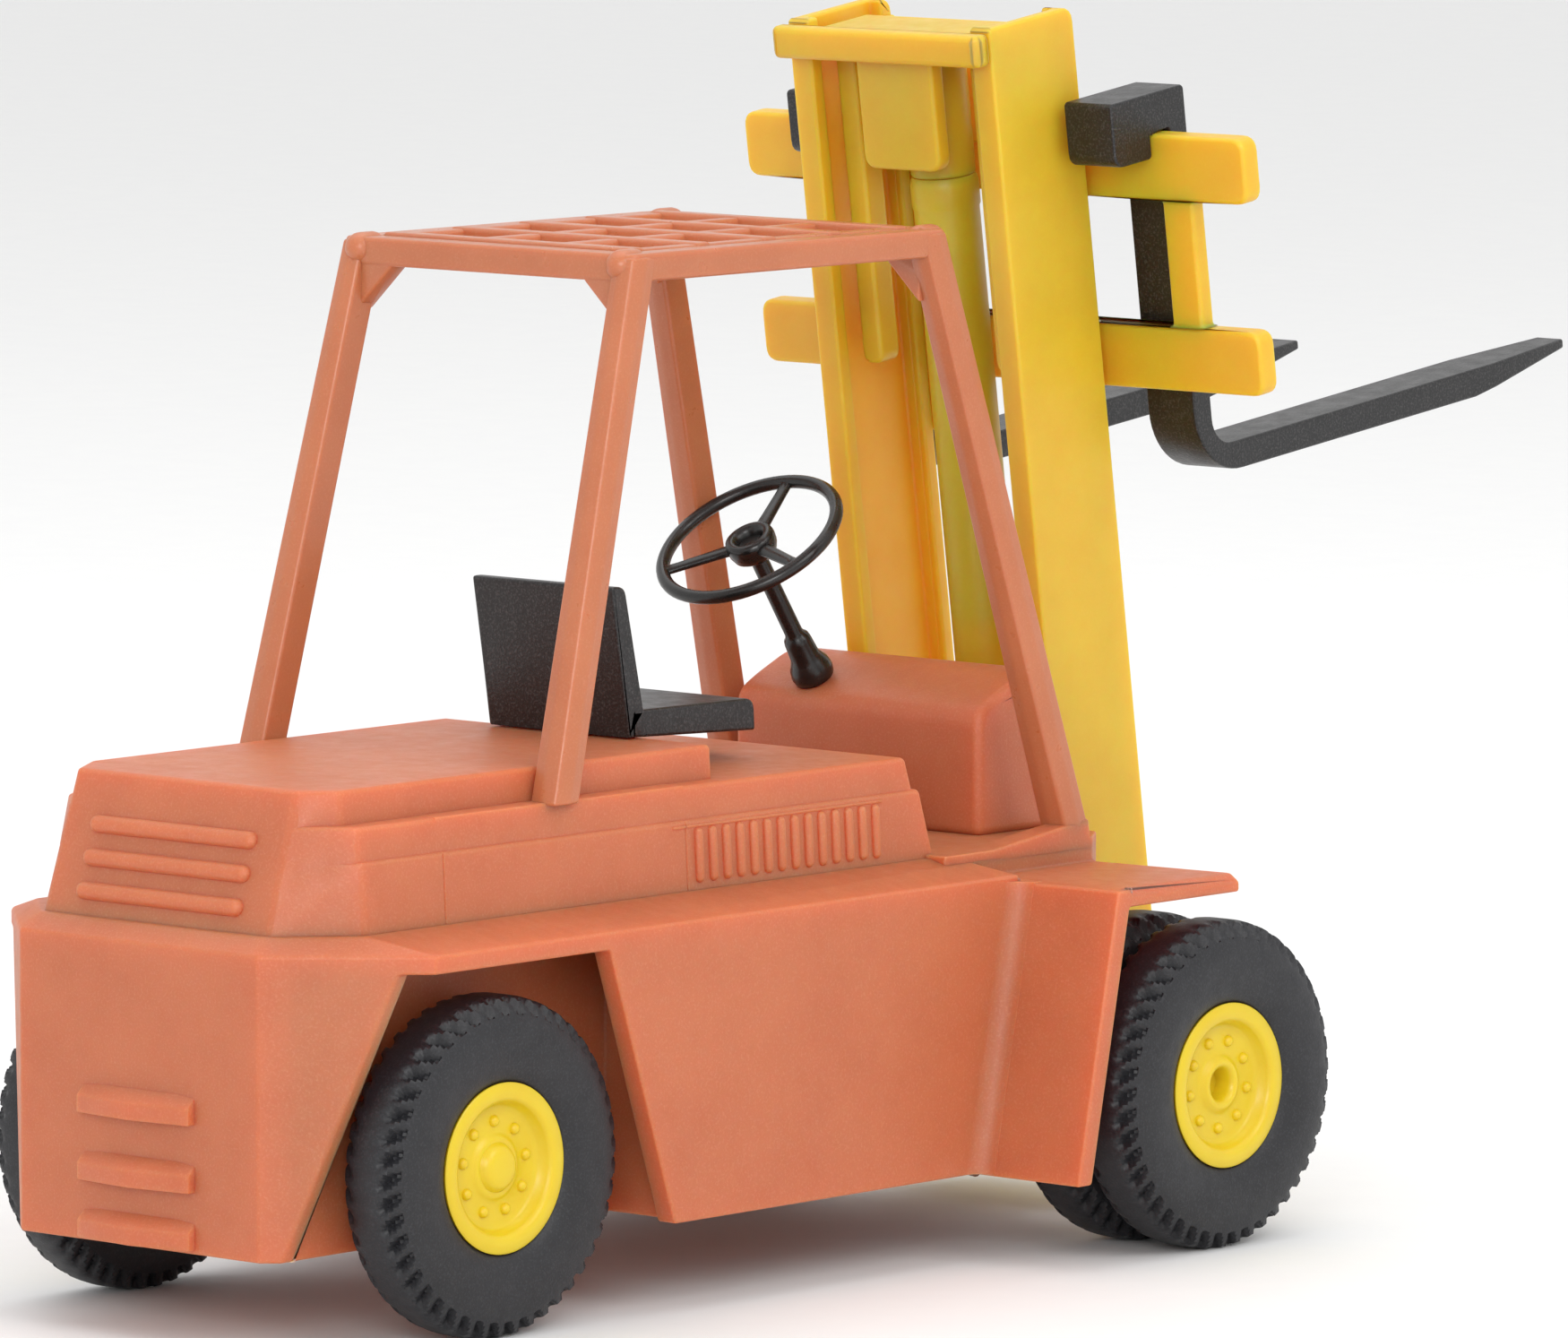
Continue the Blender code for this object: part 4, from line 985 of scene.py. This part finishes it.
def outer_mast():
    """Two channel rails, the foot and the tie between them, bored for the pivot pin."""
    half = RAIL_WEB + 0.1
    foot = box((-half, RAIL_REAR + 0.02, RAIL_BOTTOM + 0.02),
               (half, RAIL_FRONT - 0.02, RAIL_BOTTOM + FOOT_TALL), on_mast)
    tie = box((-half, RAIL_REAR + 0.02, TIE_LOW), (half, RAIL_REAR + 0.5, TIE_HIGH), on_mast)
    made = joined([*rail(-1), *rail(1), rounded(foot), rounded(tie)])
    bore = bar((-6, 0, 0), (6, 0, 0), [(0, PIN_BORE_R), (1, PIN_BORE_R)], 24, on_mast)
    merge(made, [bore], "DIFFERENCE")
    finish_piece(made, "outer_mast_moulding", "outer_mast", YELLOW)


def lift_barrel():
    """The cylinder, with a narrow collar below its top and a bore for the rod."""
    profile = [(0, 0.85), (0.005, BARREL_R), (0.965, BARREL_R), (0.968, BARREL_COLLAR_R),
               (0.992, BARREL_COLLAR_R), (0.996, 0.98), (1, 0.93)]
    made = bar((0, MAST_MIDDLE, RAIL_BOTTOM + 0.85), (0, MAST_MIDDLE, BARREL_TOP), profile, 40, on_mast)
    bore = bar((0, MAST_MIDDLE, 12), (0, MAST_MIDDLE, 27), [(0, BARREL_BORE_R), (1, BARREL_BORE_R)], 32,
               on_mast)
    merge(made, [bore], "DIFFERENCE")
    finish_piece(made, "lift_cylinder_moulding", "lift_barrel", YELLOW, 40)


def lift_rod():
    """A thin rod inside the barrel, and a stage as thick as the barrel between it and the yoke."""
    step = (BARREL_TOP + 0.02 - ROD_LOW) / (ROD_HIGH - ROD_LOW)
    profile = [(0, 0.5), (0.006, ROD_R), (step - 0.001, ROD_R), (step, 0.9),
               (step + 0.005, ROD_THICK_R), (1, ROD_THICK_R)]
    made = bar((0, MAST_MIDDLE, ROD_LOW), (0, MAST_MIDDLE, ROD_HIGH), profile, 40, on_mast)
    finish_piece(made, "lift_rod_moulding", "lift_rod", YELLOW, 40)


def inner_mast():
    """The yoke over the rails, its hanging tab, and a leg with a round end at each side."""
    reach, root = RAIL_INNER - 0.12, YOKE_BOTTOM + 0.3
    bar_plan = rounded_outline([(-YOKE_HALF, 0.08, 0.3), (YOKE_HALF, 0.08, 0.3),
                                (YOKE_HALF, 0.72, 0.2), (-YOKE_HALF, 0.72, 0.2)], 0.2)
    shapes = [
        rounded(prism(bar_plan, 2, (YOKE_BOTTOM + 0.05, YOKE_TOP + 0.15), on_mast), 0.2, 5),
        rounded(box((-reach, 0.5, YOKE_BOTTOM + 0.02),
                    (reach, MAST_MIDDLE + 0.6, YOKE_TOP - 0.02), on_mast)),
    ]
    tab = rounded_outline([(-TAB_HALF, root, 0), (-TAB_HALF, TAB_LOW, 0.45), (TAB_HALF, TAB_LOW, 0.45),
                           (TAB_HALF, root, 0)], 0.45, 6)
    shapes.append(rounded(prism(tab, 1, (0.88, 1.45), on_mast), 0.13, 4))
    for side in (-1, 1):
        leg = rounded_outline([(side * LEG_INNER, root, 0), (side * LEG_INNER, LEG_LOW, 0.37),
                               (side * LEG_OUTER, LEG_LOW, 0.37), (side * LEG_OUTER, root, 0)], 0.37, 6)
        shapes.append(rounded(prism(leg, 1, (1.7, 2.55), on_mast), 0.13, 4))
    finish_piece(joined(shapes), "inner_mast_moulding", "inner_mast", YELLOW)


def carriage():
    """Two fork bars on struts and guide plates, and a small plate in the middle of the upper bar."""
    shapes = []
    for low, high in (LOWER_BAR, UPPER_BAR):
        outline = rounded_outline([(CARRIAGE_LEFT, low), (CARRIAGE_RIGHT, low), (CARRIAGE_RIGHT, high),
                                   (CARRIAGE_LEFT, high)], 0.45, 5)
        shapes.append(prism(outline, 1, (BAR_REAR, BAR_FRONT), on_mast))
    for side in (-1, 1):
        shapes.append(box((side * STRUT_INNER, BAR_REAR + 0.08, LOWER_BAR[0] + 0.5),
                          (side * STRUT_OUTER, BAR_FRONT - 0.08, UPPER_BAR[1] - 0.5), on_mast))
        guide = rounded_outline([(side * GUIDE_INNER, GUIDE_LOW), (side * GUIDE_OUTER, GUIDE_LOW),
                                 (side * GUIDE_OUTER, GUIDE_HIGH), (side * GUIDE_INNER, GUIDE_HIGH)],
                                0.3, 4)
        shapes.append(prism(guide, 1, (RAIL_FRONT + 0.1, BAR_REAR + 0.2), on_mast))
    shapes.append(box((-ANCHOR_HALF, RAIL_FRONT + 0.2, UPPER_BAR[1] - 0.5),
                      (ANCHOR_HALF, BAR_REAR + 0.2, GUIDE_HIGH), on_mast))
    made = solid(shapes, edge=0.13, segments=4)
    finish_piece(made, "carriage_moulding", "carriage", YELLOW)


def fork_outline(rise, droop, hook_rear):
    """A fork seen from its side: the hook over the upper bar, the shank, the heel and the blade."""
    front = BAR_FRONT + FORK_PLAY
    over = UPPER_BAR[1] + FORK_PLAY
    bottom = FORK_BOTTOM + rise
    top = bottom + BLADE
    outline = rounded_outline([
        (BAR_REAR - FORK_PLAY, over, 0.1), (BAR_REAR - FORK_PLAY, HOOK_BOTTOM, 0.15),
        (hook_rear, HOOK_BOTTOM, 0.4), (hook_rear, HOOK_TOP, 0.15), (front + SHANK, HOOK_TOP, 0.15),
        (front + SHANK, 20.0, 0)], 0, 4)[:-1]
    outline += arc((front + SHANK + HEEL_INNER_R, top + HEEL_INNER_R), HEEL_INNER_R, 180, 270, 8)
    outline += [(FORK_TIP, top - droop), (FORK_TIP, top - droop - TIP_THICK),
                (18.8, bottom - droop * 0.7)]
    outline += arc((front + HEEL_R, bottom + HEEL_R), HEEL_R, 270, 180, 12)
    outline.append((front, over))
    return outline


def fork(word, side, rise, droop, hook_rear):
    """A fork whose blade is raised a little from its nominal height and droops towards its tip."""
    outer = FORK_INNER + FORK_WIDTH
    made = prism(fork_outline(rise, droop, hook_rear), 0, (side * FORK_INNER, side * outer), on_mast)
    cuts = []
    for edge, inwards in ((FORK_INNER, 1), (outer, -1)):
        beside, beyond = side * (edge - inwards * 0.6), FORK_TIP + 0.2
        plan = [(side * edge, TAPER_START), (side * (edge + inwards * TAPER), beyond),
                (beside, beyond), (beside, TAPER_START)]
        cuts.append(prism(plan, 2, (13, 18), on_mast))
    made = solid([made], cuts, edge=0.07, segments=3)
    finish_piece(made, f"{word}_fork_moulding", f"fork_{word}", BLACK)


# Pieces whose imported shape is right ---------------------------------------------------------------


def keep(node, look, width):
    """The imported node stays, with rounded edges and a better material."""
    kept = frame["nodes"][node]
    kept.data.materials.clear()
    kept.data.materials.append(look)
    kept.data.shade_smooth()
    kept.data.set_sharp_from_angle(angle=math.radians(30))
    step = kept.modifiers.new("edges", "BEVEL")
    step.width = width * MM
    step.segments = 3
    step.limit_method = "ANGLE"
    step.angle_limit = math.radians(40)
    weigh = kept.modifiers.new("even shading", "WEIGHTED_NORMAL")
    weigh.keep_sharp = True


# Scene --------------------------------------------------------------------------------------------


CAMERA_PLACE = (-0.2485, 0.2800, 0.0565)
CAMERA_LOOK = (0.6610, -0.7427, -0.1067)
CAMERA_LENS, CAMERA_SENSOR = 298.9, 36
LAMP_AIM = (0, 0, 0.015)
# name, place and size in metres, power in watts
LAMPS = (
    ("key", (-0.24, 0.02, 0.20), (0.16, 0.16), 0.22),
    ("fill", (-0.20, 0.26, 0.12), (0.14, 0.10), 0.34),
    ("top", (0.05, -0.02, 0.30), (0.30, 0.30), 0.30),
)
SKY_STRENGTH = 0.92
FLOOR_HALF = 2.5


def camera():
    made = bpy.data.objects.new("camera", bpy.data.cameras.new("camera"))
    bpy.context.scene.collection.objects.link(made)
    made.location = CAMERA_PLACE
    made.rotation_mode = "QUATERNION"
    made.rotation_quaternion = Vector(CAMERA_LOOK).to_track_quat("-Z", "Y")
    made.data.sensor_width = CAMERA_SENSOR
    made.data.lens = CAMERA_LENS
    made.data.clip_start, made.data.clip_end = 0.01, 10
    bpy.context.scene.camera = made


def lamp(name, place, size, power):
    """A soft white lamp that faces the object's middle."""
    made = bpy.data.objects.new(name, bpy.data.lights.new(name, "AREA"))
    made.data.shape = "RECTANGLE"
    made.data.size, made.data.size_y = size
    made.data.energy = power
    made.location = place
    made.rotation_mode = "QUATERNION"
    made.rotation_quaternion = (Vector(LAMP_AIM) - Vector(place)).to_track_quat("-Z", "Y")
    bpy.context.scene.collection.objects.link(made)


def studio():
    """Lamps, a white sky and a pale floor."""
    for values in LAMPS:
        lamp(*values)
    bpy.context.scene.view_settings.view_transform = "Standard"
    world = bpy.data.worlds.new("studio")
    bpy.context.scene.world = world
    world.use_nodes = True
    sky = world.node_tree.nodes["Background"]
    sky.inputs["Color"].default_value = (1, 1, 1, 1)
    sky.inputs["Strength"].default_value = SKY_STRENGTH
    bm = bmesh.new()
    bmesh.ops.create_grid(bm, x_segments=1, y_segments=1, size=FLOOR_HALF)
    floor = new_object("floor", bm)
    paper = moulded("paper", (0.86, 0.86, 0.855), (0.85, 0.85, 0.848), (0.88, 0.88, 0.88), 0.7,
                    grain_um=1.0)
    floor.data.materials.append(paper)


def build():
    lower_body()
    hood()
    cab_floor()
    dash_panel()
    roof_guard()
    roof_grille()
    seat()
    steering_column()
    steering_wheel()
    wheels()
    axles()
    outer_mast()
    lift_barrel()
    lift_rod()
    inner_mast()
    carriage()
    fork("left", -1, -0.25, 0.25, 2.9)
    fork("right", 1, 0.35, 0.23, 3.3)
    for node in ("chassis_plate", "rear_axle_housing", "mast_bracket"):
        keep(node, ORANGE, 0.1)


build()
camera()
studio()
